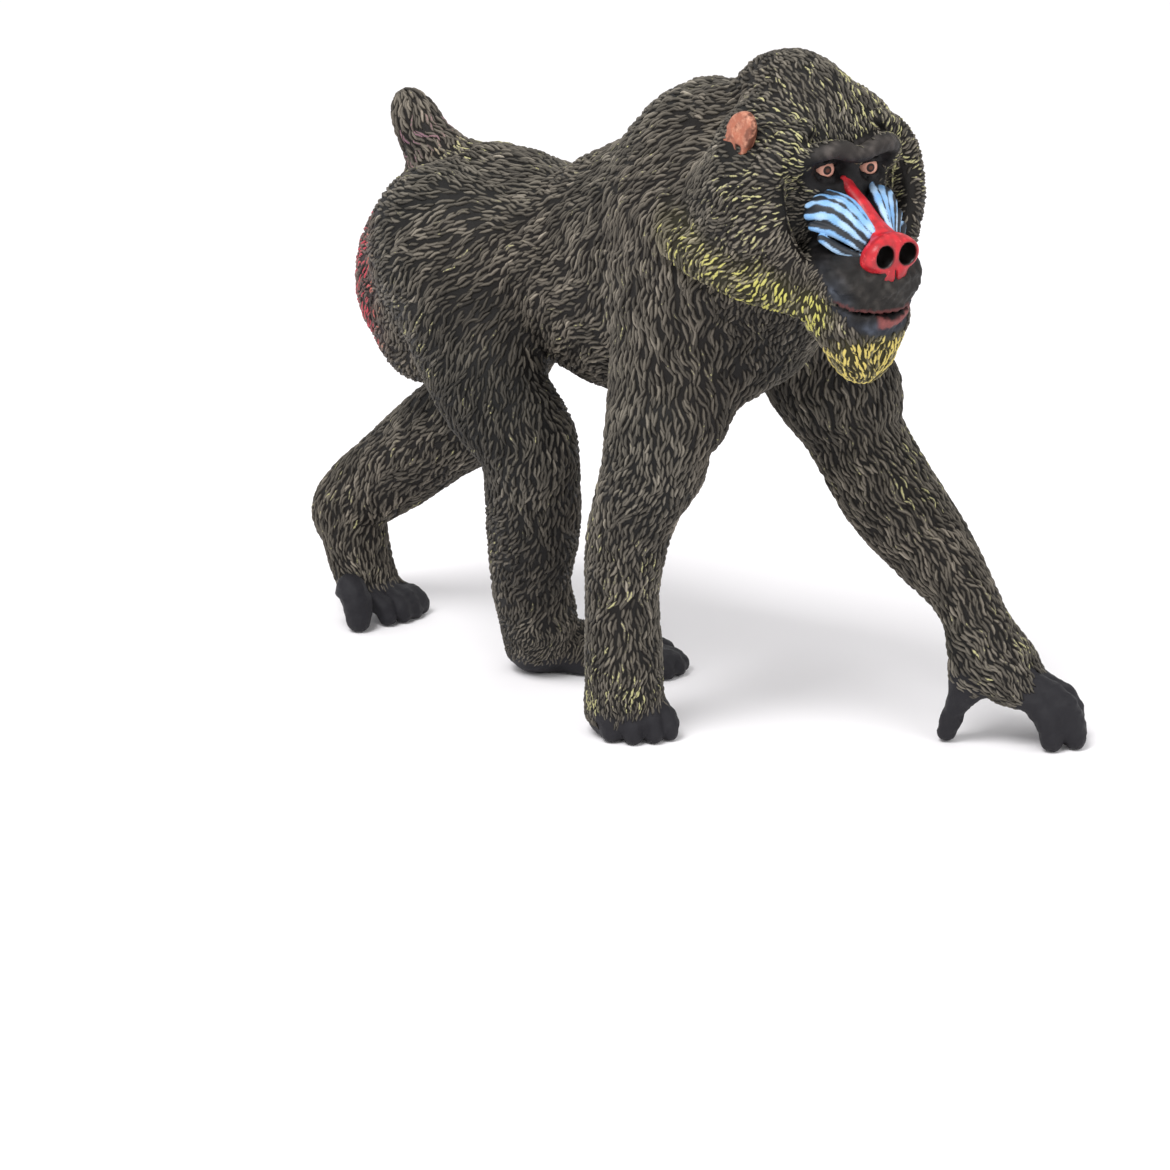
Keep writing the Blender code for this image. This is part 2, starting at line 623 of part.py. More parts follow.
def split_flesh(flesh, group):
    """Give each closed surface of the parted body to the piece whose point lies nearest."""
    source = bmesh.new()
    source.from_mesh(flesh.data)
    found = []
    for faces in islands(source):
        verts = {vert for face in faces for vert in face.verts}
        middle = sum((vert.co for vert in verts), Vector()) / len(verts)
        if len(faces) > SCRAP_FACES:
            found.append((middle / MM, faces))
    made = []
    for name, (seed, look) in FLESH.items():
        faces = min(found, key=lambda entry: (entry[0] - Vector(seed)).length)[1]
        made.append(solid(name, lambda mesh, faces=faces: copy_faces(mesh, faces), group, look))
    source.free()
    return made


def copy_faces(mesh, faces):
    twins = {}
    for face in faces:
        corners = []
        for vert in face.verts:
            if vert not in twins:
                twins[vert] = mesh.verts.new(vert.co)
            corners.append(twins[vert])
        if not mesh.faces.get(corners):
            mesh.faces.new(corners)


def ribbed_cheek(side, group, tools):
    """The swollen cheek with its ribs, joined by a union."""
    label = "left" if side == 1 else "right"
    pad = solid("cheek_ridges_" + label, lambda mesh: cheek(mesh, side, 0.0), group, BLUE)
    for index in range(CHEEK_RIBS):
        rows = head_rows(cheek_rib(index, side))
        rib = solid("rib", lambda mesh: add_loft(mesh, rows, HEAD_LEFT, 0.0, FINE_SIDES, FINE_SPANS), tools)
        union = pad.modifiers.new("rib", "BOOLEAN")
        union.operation = "UNION"
        union.solver = "EXACT"
        union.object = rib
        settle(pad)
        bpy.data.objects.remove(rib, do_unlink=True)
    return cut(pad, as_cutter(solid("nose_room_" + label, lambda mesh: nose(mesh, GAP), tools)))


def tidy(item):
    """Keep an item's largest closed surface, in triangles, with flat scraps merged."""
    mesh = bmesh.new()
    mesh.from_mesh(item.data)
    bmesh.ops.remove_doubles(mesh, verts=mesh.verts, dist=MERGE_DISTANCE * MM)
    bmesh.ops.dissolve_degenerate(mesh, edges=mesh.edges, dist=MERGE_DISTANCE * MM / 2)
    keep_largest(mesh)
    bmesh.ops.triangulate(mesh, faces=mesh.faces)
    mesh.to_mesh(item.data)
    mesh.free()


def stand_at_origin(pieces):
    """Move the pieces so that the origin is under the middle of the figurine, on the floor."""
    points = [vert.co for item in pieces for vert in item.data.vertices]
    low = Vector([min(point[axis] for point in points) for axis in range(3)])
    high = Vector([max(point[axis] for point in points) for axis in range(3)])
    middle = (low + high) / 2
    for item in pieces:
        item.data.transform(Matrix.Translation((-middle.x, -middle.y, -low.z)))


def main():
    clear_scene()
    group = new_collection("mandrill_figurine")
    tools = new_collection("cutters")
    flesh = fuse(solid("flesh", build_flesh, tools))
    for name, build in (("pockets", pockets), ("parting", parting)):
        cut(flesh, as_cutter(solid(name, build, tools)))
    pieces = split_flesh(flesh, group)
    bpy.data.objects.remove(flesh, do_unlink=True)
    snout_tip = solid("nose", lambda mesh: nose(mesh, 0.0), group, RED)
    cut(snout_tip, as_cutter(solid("nostrils", nostrils, tools)))
    pieces.append(snout_tip)
    for side, label in ((1, "left"), (-1, "right")):
        pieces.append(solid("eye_" + label, lambda mesh: eye(mesh, label, 0.0), group, EYE_TAN))
        flap = solid("ear_" + label, lambda mesh: ear(mesh, label, 0.0), group, EAR_BROWN)
        cut(flap, as_cutter(solid("ear_bowl_" + label, lambda mesh: ear_bowl(mesh, label), tools)))
        pieces.append(flap)
        pieces.append(ribbed_cheek(side, group, tools))
    for item in pieces:
        tidy(item)
    stand_at_origin(pieces)


main()
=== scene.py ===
"""Looks of a hand-painted mandrill figurine, moulded in soft PVC, about 111 mm long.

The skin is the level surface of a distance field that joins the body's lofts and balls with soft
blends, so that no seam shows.  The engraved fur lies over it as tapered, rounded strokes that
follow the lie of the coat.  Nose, cheeks, ears and eyes are finer surfaces of their own.

Lengths are in millimetres in the figurine's own frame: +X forward, +Y to the animal's left, +Z up
from the floor.  Only add_piece turns them into metres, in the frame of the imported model.
"""

import math

import bpy
import numpy as np
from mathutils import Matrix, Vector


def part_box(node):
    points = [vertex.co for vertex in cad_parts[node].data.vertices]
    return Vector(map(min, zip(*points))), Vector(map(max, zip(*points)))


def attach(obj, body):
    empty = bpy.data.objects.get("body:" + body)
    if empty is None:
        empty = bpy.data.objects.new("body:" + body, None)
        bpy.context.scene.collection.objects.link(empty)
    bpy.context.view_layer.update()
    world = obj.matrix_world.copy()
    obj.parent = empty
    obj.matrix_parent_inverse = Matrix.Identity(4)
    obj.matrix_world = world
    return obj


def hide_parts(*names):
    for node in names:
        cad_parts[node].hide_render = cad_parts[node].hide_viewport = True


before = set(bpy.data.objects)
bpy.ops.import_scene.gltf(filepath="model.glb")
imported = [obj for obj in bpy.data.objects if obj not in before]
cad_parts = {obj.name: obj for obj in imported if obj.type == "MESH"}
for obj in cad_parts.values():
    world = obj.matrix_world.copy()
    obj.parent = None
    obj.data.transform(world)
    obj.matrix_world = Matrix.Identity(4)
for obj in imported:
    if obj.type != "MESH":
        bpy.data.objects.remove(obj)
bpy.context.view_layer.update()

MM = 0.001
FAR = 50.0
WORLD_AXES = np.eye(3)

# The head turns to the animal's right and has its own axes: forward, left and up, from mid-eyes.
HEAD_ORIGIN = np.array((31.9, -6.5, 74.6))
HEAD_TURN = math.radians(-14.0)
HEAD_AXES = np.array((
    (math.cos(HEAD_TURN), math.sin(HEAD_TURN), 0.0),
    (-math.sin(HEAD_TURN), math.cos(HEAD_TURN), 0.0),
    (0.0, 0.0, 1.0),
))

EYES = {"right": (-1.6, -2.6, 0.1), "left": (-1.6, 3.6, -0.35)}
EARS = {"right": (-6.4, -10.8, 4.1), "left": (-11.0, 12.6, -0.8)}
EYE_RADIUS = 1.25
NOSE_TILT = 18.0
EAR_TILT = 38.0
CREST_TILT = -12.0
MOUTH_TILT = 28.0

# Sections along the body: x, y, z of the centre, then half width and half height.
TRUNK = (
    (-44.4, 0.0, 48.5, 7.2, 8.7),
    (-40.6, 0.0, 48.2, 9.8, 11.7),
    (-35.7, 0.0, 50.6, 11.7, 13.9),
    (-29.0, 0.0, 53.0, 11.7, 14.5),
    (-17.1, 0.0, 54.3, 11.4, 11.8),
    (-6.7, 0.0, 55.1, 12.3, 15.3),
    (3.2, 0.0, 60.1, 13.3, 15.5),
    (9.0, -0.8, 62.3, 12.6, 18.9),
    (15.4, -1.6, 63.4, 10.3, 14.9),
)
TAIL = (
    (-39.0, 0.0, 63.2, 3.6, 5.2),
    (-41.4, 0.0, 65.8, 3.0, 3.7),
    (-43.8, 0.0, 68.8, 2.8, 3.0),
    (-44.7, 0.0, 70.3, 2.1, 2.3),
)
ARM_RIGHT = (
    (9.1, -9.1, 61.9, 6.0, 9.0),
    (8.0, -10.0, 44.1, 6.2, 8.4),
    (8.2, -12.5, 40.4, 5.8, 6.8),
    (7.6, -12.6, 36.1, 6.0, 6.3),
    (5.8, -13.2, 31.7, 5.2, 5.3),
    (3.4, -12.9, 25.1, 4.7, 5.0),
    (2.4, -12.5, 18.3, 4.3, 4.5),
    (2.1, -11.9, 12.5, 4.6, 4.6),
    (1.8, -11.4, 7.2, 4.7, 4.8),
    (1.4, -11.0, 3.9, 4.4, 4.5),
)
ARM_LEFT = (
    (9.0, 9.0, 60.0, 6.5, 9.0),
    (12.1, 11.8, 46.1, 7.0, 8.0),
    (15.2, 13.1, 41.1, 7.1, 7.7),
    (16.8, 13.7, 36.5, 5.8, 6.0),
    (21.5, 14.9, 29.2, 5.8, 6.0),
    (26.8, 16.2, 23.4, 5.2, 5.1),
    (31.6, 16.4, 18.9, 4.1, 4.0),
    (34.9, 16.7, 14.0, 3.9, 3.7),
    (37.6, 18.5, 9.2, 4.9, 3.4),
    (39.3, 19.8, 7.4, 4.2, 2.3),
)
LEG_RIGHT = (
    (-32.0, -6.5, 56.0, 7.5, 10.0),
    (-25.2, -8.5, 44.8, 7.2, 9.0),
    (-20.5, -10.2, 38.8, 6.5, 7.1),
    (-16.4, -9.4, 34.1, 6.1, 6.3),
    (-16.8, -7.8, 29.5, 5.8, 6.0),
    (-18.6, -5.6, 21.5, 5.6, 6.0),
    (-20.9, -3.6, 13.6, 4.8, 5.1),
    (-21.7, -1.4, 7.8, 4.8, 5.1),
    (-23.2, -0.1, 3.9, 4.1, 4.2),
)
LEG_LEFT = (
    (-33.0, 7.0, 56.0, 7.0, 9.5),
    (-33.9, 7.7, 46.2, 6.8, 8.7),
    (-37.0, 6.9, 37.2, 6.3, 7.3),
    (-39.5, 7.1, 30.9, 6.0, 7.0),
    (-45.6, 5.6, 25.9, 5.8, 6.2),
    (-52.1, 4.6, 20.5, 5.2, 5.7),
    (-59.4, 2.9, 14.4, 4.6, 4.7),
    (-58.5, 2.9, 10.9, 4.5, 4.1),
    (-57.1, 2.7, 6.9, 4.6, 3.5),
    (-55.2, 2.4, 3.9, 4.8, 2.7),
)
SOLE_RIGHT = (
    (-24.1, 2.0, 3.0, 3.4, 3.6),
    (-18.6, 3.8, 3.0, 3.6, 3.7),
    (-14.0, 7.0, 2.4, 4.0, 2.7),
    (-11.8, 8.2, 1.9, 4.1, 2.2),
)
PALM_RIGHT = (
    (0.5, -10.9, 3.3, 4.2, 4.1),
    (2.1, -10.2, 3.5, 4.2, 3.9),
)
THUMB_LEFT = (
    (34.7, 14.8, 13.0, 2.8, 2.7),
    (35.1, 14.1, 8.5, 2.5, 2.6),
    (34.0, 13.5, 5.3, 1.8, 1.6),
    (32.3, 13.6, 1.2, 1.5, 1.3),
)
# Digits: the tip on the floor, the way the digit points, its length, knuckle height and radius.
DIGITS = (
    ((-9.4, 6.2), 22.0, 4.6, 2.4, 1.40),
    ((-8.5, 8.3), 22.0, 4.8, 2.4, 1.40),
    ((-8.5, 10.4), 22.0, 4.8, 2.3, 1.40),
    ((-9.4, 12.2), 22.0, 4.4, 2.2, 1.35),
    ((-13.4, 14.0), 46.0, 5.4, 2.2, 1.55),
    ((-51.5, -3.6), -12.0, 2.0, 5.4, 1.90),
    ((-50.3, 0.6), 0.0, 4.4, 3.4, 1.45),
    ((-49.7, 2.9), 4.0, 4.6, 3.3, 1.45),
    ((-49.8, 5.1), 8.0, 4.6, 3.2, 1.45),
    ((-50.5, 7.1), 14.0, 4.4, 3.0, 1.40),
    ((2.2, -14.2), -24.0, 3.4, 4.2, 1.50),
    ((4.8, -13.1), -20.0, 3.6, 4.3, 1.50),
    ((6.4, -11.1), -12.0, 3.6, 4.4, 1.45),
    ((7.0, -9.0), -4.0, 3.6, 4.0, 1.45),
    ((44.2, 19.0), 14.0, 5.8, 7.4, 1.65),
    ((45.8, 21.6), 22.0, 6.4, 8.0, 1.65),
    ((44.1, 24.2), 28.0, 6.2, 7.8, 1.60),
    ((41.3, 26.7), 36.0, 5.6, 6.8, 1.50),
)
TIP_HEIGHT = 0.78
DIGIT_BEND = (0.22, 0.60)
DIGIT_TAPER = (1.12, 1.08, 0.92)

# Round masses of the trunk: centre, half lengths along x, y and z, and how softly each blends.
MASSES = (
    ((-32.5, 6.6, 55.1), (10.5, 7.0, 10.1), 1.5),
    ((-32.5, -7.0, 54.7), (10.6, 7.6, 10.8), 1.5),
    ((-39.9, -0.8, 41.9), (6.4, 7.6, 6.6), 1.5),
    ((13.3, -5.5, 50.0), (5.4, 5.7, 7.0), 2.0),
    ((11.3, -1.8, 64.2), (15.8, 14.4, 13.9), 2.0),
    ((12.0, -3.0, 77.6), (5.5, 6.0, 3.5), 1.5),
)



def over_middle(rows):
    """Rows from the right side to the middle, and the same ones back on the left side."""
    return rows + tuple((forward, -left, *rest) for forward, left, *rest in rows[-2::-1])


# The block that holds the whole head, in head axes.
HEAD_BLOCK = ((-30.0, -22.0, -32.0), (18.0, 22.0, 18.0))
# Head forms, in head axes. Those set off the middle are mirrored to the other side.
SKULL = ((-8.2, 0.0, -1.6), (8.7, 13.0, 11.1))
CREST = ((-12.0, 0.0, 6.7), (8.9, 4.8, 5.2))
FACE = ((-4.6, 0.0, -4.5), (4.6, 7.2, 8.5))
SNOUT = ((2.2, 0.0, -11.9), (7.2, 7.2, 4.6))
JAW = ((1.6, 0.0, -16.7), (6.2, 6.2, 4.1))
CHEEK = ((-8.6, 9.0, -5.1), (8.7, 5.2, 7.1))
SOCKET_DEPTH = 1.4
SOCKET_RADII = (1.8, 2.0, 1.25)
NOSE = ((7.4, 0.0, -8.7), (1.7, 3.7, 2.9))
NOSE_FOOT = ((7.8, 0.0, -10.6), (1.5, 2.2, 1.5))
NOSTRIL_RIM = ((8.2, 1.75, -8.5), (1.3, 1.9, 1.9))
SEPTUM = ((9.7, 0.0, -10.4), (0.9, 0.22, 2.4))
NOSTRIL = ((9.2, 1.6, -8.4), (2.6, 1.24, 1.26))
EAR_RADII = (2.2, 1.1, 3.4)
MOUTH = ((7.4, 0.2, -15.5), (3.8, 5.6, 0.4))
BROW = over_middle((
    (-1.6, -6.8, 0.6, 1.2, 1.2),
    (0.0, -5.8, 2.1, 1.3, 1.2),
    (1.4, -4.0, 2.9, 1.4, 1.2),
    (1.9, -2.0, 2.7, 1.3, 1.2),
    (1.7, 0.0, 2.0, 1.3, 1.1),
))
BRIDGE = (
    (-1.3, 0.0, -3.2, 2.2, 2.2),
    (1.8, 0.0, -5.5, 2.3, 2.4),
    (4.6, 0.0, -8.0, 2.5, 2.5),
)
STRIPE = (
    (-0.2, -0.5, -1.2, 0.8, 0.6),
    (0.5, -0.4, -2.0, 0.8, 0.65),
    (1.7, -0.3, -2.9, 0.85, 0.7),
    (2.9, -0.2, -3.8, 1.0, 0.8),
    (4.7, -0.1, -5.3, 1.2, 0.8),
    (6.3, 0.0, -6.4, 1.6, 0.9),
    (7.2, 0.0, -7.4, 2.3, 1.1),
)
RUFF = (
    (1.2, 5.2, -14.6, 2.2, 2.4),
    (-1.6, 7.0, -13.6, 2.5, 2.7),
    (-6.0, 9.3, -12.3, 2.8, 3.0),
    (-11.0, 11.5, -10.8, 2.8, 3.0),
    (-15.2, 12.9, -9.0, 1.8, 2.0),
)
BEARD = (
    (2.4, 0.0, -16.6, 5.2, 4.6),
    (2.8, 0.0, -19.4, 4.9, 3.7),
    (3.1, 0.0, -22.0, 3.4, 2.5),
    (3.1, 0.0, -23.5, 1.2, 1.0),
)
# The raised ring of longer fur about the face, the hollow inside it, the lip of the ruff, and the
# hollow under that lip.
RING = (
    (-1.6, 5.4, 5.0, 1.2, 1.3),
    (-2.4, 8.4, 2.8, 1.6, 1.8),
    (-2.7, 10.1, -0.6, 1.9, 2.1),
    (-2.6, 10.2, -4.4, 2.0, 2.2),
    (-1.6, 9.0, -8.2, 2.0, 2.2),
    (0.4, 7.2, -11.4, 1.6, 1.8),
)
RING_HOLLOW = (
    (-1.6, 7.2, 1.4, 0.9, 0.9),
    (-1.0, 7.2, -1.6, 1.1, 1.1),
    (-0.8, 7.1, -5.2, 1.2, 1.2),
    (0.6, 6.3, -8.8, 1.0, 1.0),
)
RUFF_LIP = (
    (1.4, 5.2, -15.6, 0.9, 0.9),
    (-3.3, 8.4, -15.0, 1.1, 1.0),
    (-7.9, 11.0, -13.9, 1.2, 1.1),
    (-12.6, 12.8, -12.4, 1.2, 1.1),
    (-15.6, 13.6, -10.6, 1.0, 1.0),
    (-16.4, 13.6, -8.8, 0.7, 0.8),
)
RUFF_HOLLOW = (
    (-3.3, 7.6, -17.2, 1.1, 1.1),
    (-7.9, 10.2, -16.2, 1.3, 1.2),
    (-12.6, 12.2, -14.7, 1.3, 1.2),
    (-16.4, 13.4, -12.8, 1.1, 1.1),
)
UPPER_LID = (
    (-0.2, -1.6, 0.1, 0.4, 0.4),
    (1.1, -0.6, 0.9, 0.4, 0.4),
    (1.1, 0.6, 0.9, 0.4, 0.4),
    (-0.2, 1.7, 0.2, 0.4, 0.4),
)
LOWER_LID = (
    (-0.2, -1.6, -0.1, 0.4, 0.4),
    (1.0, -0.6, -0.9, 0.4, 0.4),
    (1.0, 0.6, -0.9, 0.4, 0.4),
    (-0.2, 1.7, -0.1, 0.4, 0.4),
)
UPPER_LIP = over_middle((
    (4.9, -5.5, -13.5, 0.5, 0.4),
    (6.0, -4.7, -14.1, 0.5, 0.45),
    (7.1, -2.8, -14.75, 0.55, 0.5),
    (7.5, 0.0, -15.0, 0.6, 0.5),
))
LOWER_LIP = over_middle((
    (5.2, -4.9, -14.9, 0.5, 0.4),
    (6.5, -3.0, -15.8, 0.65, 0.5),
    (7.4, 0.0, -16.3, 0.8, 0.6),
))
# The fold that parts the upper lip from the muzzle.
LIP_FOLD = over_middle((
    (5.2, -6.0, -12.7, 0.25, 0.25),
    (7.3, -4.3, -13.6, 0.3, 0.3),
    (8.5, -2.0, -14.2, 0.3, 0.3),
    (8.7, 0.0, -14.35, 0.3, 0.3),
))
CHEEK_PAD = (
    (0.2, 4.0, -4.6, 2.1, 2.3),
    (2.4, 2.9, -5.7, 1.8, 2.2),
    (5.2, 1.6, -7.4, 1.0, 1.2),
)
# The ribs fan out over the cheek. Each stands on three arcs across it, by the eye, at mid length and
# by the nose, given by their top, middle and bottom points, with the radius of a rib there.
CHEEK_ARCS = (
    ((-0.2, 3.3, -2.4), (0.0, 5.9, -4.2), (2.5, 5.8, -6.9), 0.52),
    ((2.9, 1.9, -3.3), (2.6, 3.9, -4.4), (3.9, 4.3, -8.1), 0.62),
    ((6.3, 1.1, -6.1), (5.9, 1.9, -7.0), (5.9, 2.8, -8.8), 0.38),
)
CHEEK_RIBS = 6


# Placing

def head_point(place):
    """A point or points given in head axes, in the figurine's frame."""
    return HEAD_ORIGIN + np.asarray(place, float) @ HEAD_AXES


def in_head_axes(points):
    """The figurine's points in head axes."""
    return (points - HEAD_ORIGIN) @ HEAD_AXES.T


def head_rows(rows, side=1):
    """Loft rows given in head axes, in the figurine's frame, mirrored where side is -1."""
    rows = np.array(rows, float)
    rows[:, 1] *= side
    return np.hstack((head_point(rows[:, :3]), rows[:, 3:]))


def nodded(degrees):
    """The head's axes turned nose down about the left axis."""
    turn = math.radians(degrees)
    forward, left, up = HEAD_AXES
    return np.array((
        math.cos(turn) * forward - math.sin(turn) * up,
        left,
        math.sin(turn) * forward + math.cos(turn) * up,
    ))


def packed_shift():
    """Where the figurine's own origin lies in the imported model, read from its two eyes."""
    corners = [tuple(corner) for node in ("eye_left", "eye_right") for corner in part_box(node)]
    return np.mean(corners, axis=0) / MM - head_point(np.mean(list(EYES.values()), axis=0))


SHIFT = packed_shift()


# Distances

def unit(vectors):
    """Vectors divided by their own lengths."""
    return vectors / np.maximum(np.linalg.norm(vectors, axis=-1, keepdims=True), 1e-9)


def ease(value, low, high):
    """0 up to low and 1 from high, with a smooth step between."""
    share = np.clip((value - low) / (high - low), 0.0, 1.0)
    return share * share * (3.0 - 2.0 * share)


def joined(first, second, blend):
    """The smaller of two distances, rounded where they differ by less than blend."""
    share = np.clip(0.5 + 0.5 * (second - first) / blend, 0.0, 1.0)
    return second + (first - second) * share - blend * share * (1.0 - share)


def carved(first, second, blend):
    """The first shape with the second taken out of it, rounded at the rim."""
    return -joined(-first, second, blend)


def radii_away(points, centre, radii, axes=WORLD_AXES):
    """How many radii each point lies from the middle of an ellipsoid."""
    return np.linalg.norm((points - centre) @ np.asarray(axes).T / radii, axis=-1)


def oval(local, radii):
    """Nearly the distance to an ellipsoid: k (k - 1) over the slope of k, k being radii away."""
    away = np.sqrt(np.square(local / radii).sum(axis=1))
    slope = np.sqrt(np.square(local / radii ** 2).sum(axis=1))
    return away * (away - 1.0) / np.maximum(slope, 1e-6)


def ball(points, centre, radii, axes=WORLD_AXES):
    """The distance to an ellipsoid with that centre, those half lengths and axes."""
    local = (points - np.asarray(centre, np.float32)) @ np.asarray(axes, np.float32).T
    return oval(local, np.asarray(radii, np.float32))


def eye_rows(rows, label):
    """Loft rows given from an eye's middle, in head axes."""
    rows = np.array(rows)
    rows[:, :3] += EYES[label]
    return rows


def head_ball(points, form, side=1, axes=HEAD_AXES):
    """A ball given in head axes."""
    (forward, left, up), radii = form
    return ball(points, head_point((forward, left * side, up)), radii, axes)


def curve_through(rows, spans):
    """Catmull-Rom rows between the given ones, so that a few sections make a smooth limb."""
    rows = np.asarray(rows, float)
    ends = np.vstack((2 * rows[0] - rows[1], rows, 2 * rows[-1] - rows[-2]))
    a, b, c, d = ends[:-3, None], ends[1:-2, None], ends[2:-1, None], ends[3:, None]
    t = (np.arange(spans) / spans)[None, :, None]
    smooth = 0.5 * (2 * b + (c - a) * t + (2 * a - 5 * b + 4 * c - d) * t ** 2
                    + (3 * b - a - 3 * c + d) * t ** 3)
    return np.vstack((smooth.reshape(-1, rows.shape[1]), rows[-1:]))


def inside(points, low, high):
    """Indices of the points in a box."""
    keep = np.ones(len(points), bool)
    for axis in range(3):
        keep &= (points[:, axis] > low[axis]) & (points[:, axis] < high[axis])
    return np.flatnonzero(keep)


def span_distance(points, start, stop, side):
    """Distance to a straight length of oval section, with a rounded end at each of its rows."""
    along = stop[:3] - start[:3]
    length = np.linalg.norm(along)
    way = along / length
    across = unit(side - way * (side @ way))
    frame_rows = np.stack((across, np.cross(way, across), way)).astype(np.float32)
    local = (points - start[:3].astype(np.float32)) @ frame_rows.T
    share = np.clip(local[:, 2] / length, 0.0, 1.0)
    local[:, 2] -= share * length
    width = start[3] + (stop[3] - start[3]) * share
    height = start[4] + (stop[4] - start[4]) * share
    radii = np.stack((width, height, np.minimum(width, height)), axis=1).astype(np.float32)
    return oval(local, radii)


def loft(points, rows, side=WORLD_AXES[1], spans=4, margin=4.0):
    """Distance to an oval section carried along the rows, the least over its straight lengths."""
    path = curve_through(rows, spans)
    path[:, 3:] = np.maximum(path[:, 3:], 0.05)
    reach = path[:, 3:5].max() + margin
    near = inside(points, path[:, :3].min(axis=0) - reach, path[:, :3].max(axis=0) + reach)
    close = points[near]
    best = np.full(len(close), FAR, np.float32)
    for start, stop in zip(path, path[1:]):
        reach = max(start[3:5].max(), stop[3:5].max()) + margin
        low = np.minimum(start[:3], stop[:3]) - reach
        high = np.maximum(start[:3], stop[:3]) + reach
        part = inside(close, low, high)
        if len(part):
            best[part] = np.minimum(best[part], span_distance(close[part], start, stop, side))
    distance = np.full(len(points), FAR, np.float32)
    distance[near] = best
    return distance


def head_loft(points, rows, side=1, across=1, **more):
    """A loft given in head axes, its width along the head's axis of that number."""
    return loft(points, head_rows(rows, side), HEAD_AXES[across], **more)


def digit_rows(tip, heading, length, knuckle_height, radius):
    """A bent finger or toe: back from its knuckle, over, and down to its tip on the floor."""
    way = np.array((math.cos(math.radians(heading)), math.sin(math.radians(heading)), 0.0))
    point = np.array((tip[0], tip[1], radius * TIP_HEIGHT))
    rise = np.array((0.0, 0.0, knuckle_height - point[2]))
    back, up = DIGIT_BEND
    places = (point - way * length + rise, point - way * back * length + up * rise, point)
    return [(*place, radius * share, radius * share) for place, share in zip(places, DIGIT_TAPER)]


def head_distance(points):
    """Skull, face, muzzle, ruff and beard, without nose, cheek ribs, ears and eyes."""
    made = head_ball(points, SKULL)
    made = joined(made, head_ball(points, CREST, axes=nodded(CREST_TILT)), 2.5)
    for side in (1, -1):
        made = joined(made, head_ball(points, CHEEK, side), 1.5)
        made = carved(made, head_loft(points, RING_HOLLOW, side), 1.0)
        made = joined(made, head_loft(points, RING, side), 0.8)
        made = joined(made, head_loft(points, RUFF, side, across=0), 1.2)
        made = joined(made, head_loft(points, RUFF_LIP, side), 0.8)
    made = joined(made, head_ball(points, FACE), 1.5)
    made = joined(made, head_loft(points, BROW, across=0), 1.5)
    made = joined(made, head_loft(points, BRIDGE), 0.8)
    made = joined(made, head_ball(points, SNOUT), 1.0)
    made = joined(made, head_ball(points, JAW), 1.2)
    made = joined(made, head_loft(points, BEARD), 1.2)
    made = carved(made, head_ball(points, MOUTH, axes=nodded(MOUTH_TILT)), 0.3)
    made = carved(made, head_loft(points, LIP_FOLD, across=0), 0.4)
    made = joined(made, head_loft(points, UPPER_LIP, across=0), 0.5)
    made = joined(made, head_loft(points, LOWER_LIP, across=0), 0.5)
    for label, (forward, left, up) in EYES.items():
        made = carved(made, head_ball(points, ((forward + SOCKET_DEPTH, left, up), SOCKET_RADII)), 0.8)
        made = joined(made, head_loft(points, eye_rows(UPPER_LID, label), across=0), 0.25)
        made = joined(made, head_loft(points, eye_rows(LOWER_LID, label), across=0), 0.25)
    return made


def body_distance(points):
    """The whole body as one soft form, cut off level at the floor."""
    points = points.astype(np.float32)
    made = loft(points, TRUNK)
    for centre, radii, blend in MASSES:
        made = joined(made, ball(points, centre, radii), blend)
    low, high = (head_point(corner) for corner in HEAD_BLOCK)
    near = inside(points, low - 4.0, high + 4.0)
    head = np.full(len(points), FAR, np.float32)
    head[near] = head_distance(points[near])
    made = joined(made, head, 2.0)
    for side in (1, -1):
        made = carved(made, head_loft(points, RUFF_HOLLOW, side), 0.8)
    for rows in (ARM_RIGHT, ARM_LEFT, LEG_RIGHT, LEG_LEFT):
        made = joined(made, loft(points, rows), 2.0)
    made = joined(made, loft(points, TAIL), 2.0)
    for rows in (SOLE_RIGHT, PALM_RIGHT, THUMB_LEFT):
        made = joined(made, loft(points, rows), 1.5)
    digits = np.full(len(points), FAR, np.float32)
    for digit in DIGITS:
        digits = joined(digits, loft(points, digit_rows(*digit)), 0.15)
    made = joined(made, digits, 0.4)
    return np.maximum(made, -points[:, 2])


# Level surfaces

def graded_axis(low, high, stretches):
    """Grid places from low to high, one coarse step apart, or a finer stretch's own step within it."""
    places = [low]
    while places[-1] < high:
        steps = [step for start, stop, step in stretches if start <= places[-1] < stop]
        places.append(places[-1] + (steps or [COARSE_STEP])[0])
    return np.array(places)


def between(values, old, new, axis):
    """Straight interpolation of a grid along one axis, from its old places to the new ones."""
    low = np.clip(np.searchsorted(old, new) - 1, 0, len(old) - 2)
    share = ((new - old[low]) / (old[low + 1] - old[low])).astype(np.float32)
    shape = [1, 1, 1]
    shape[axis] = -1
    share = share.reshape(shape)
    return np.take(values, low, axis) * (1 - share) + np.take(values, low + 1, axis) * share


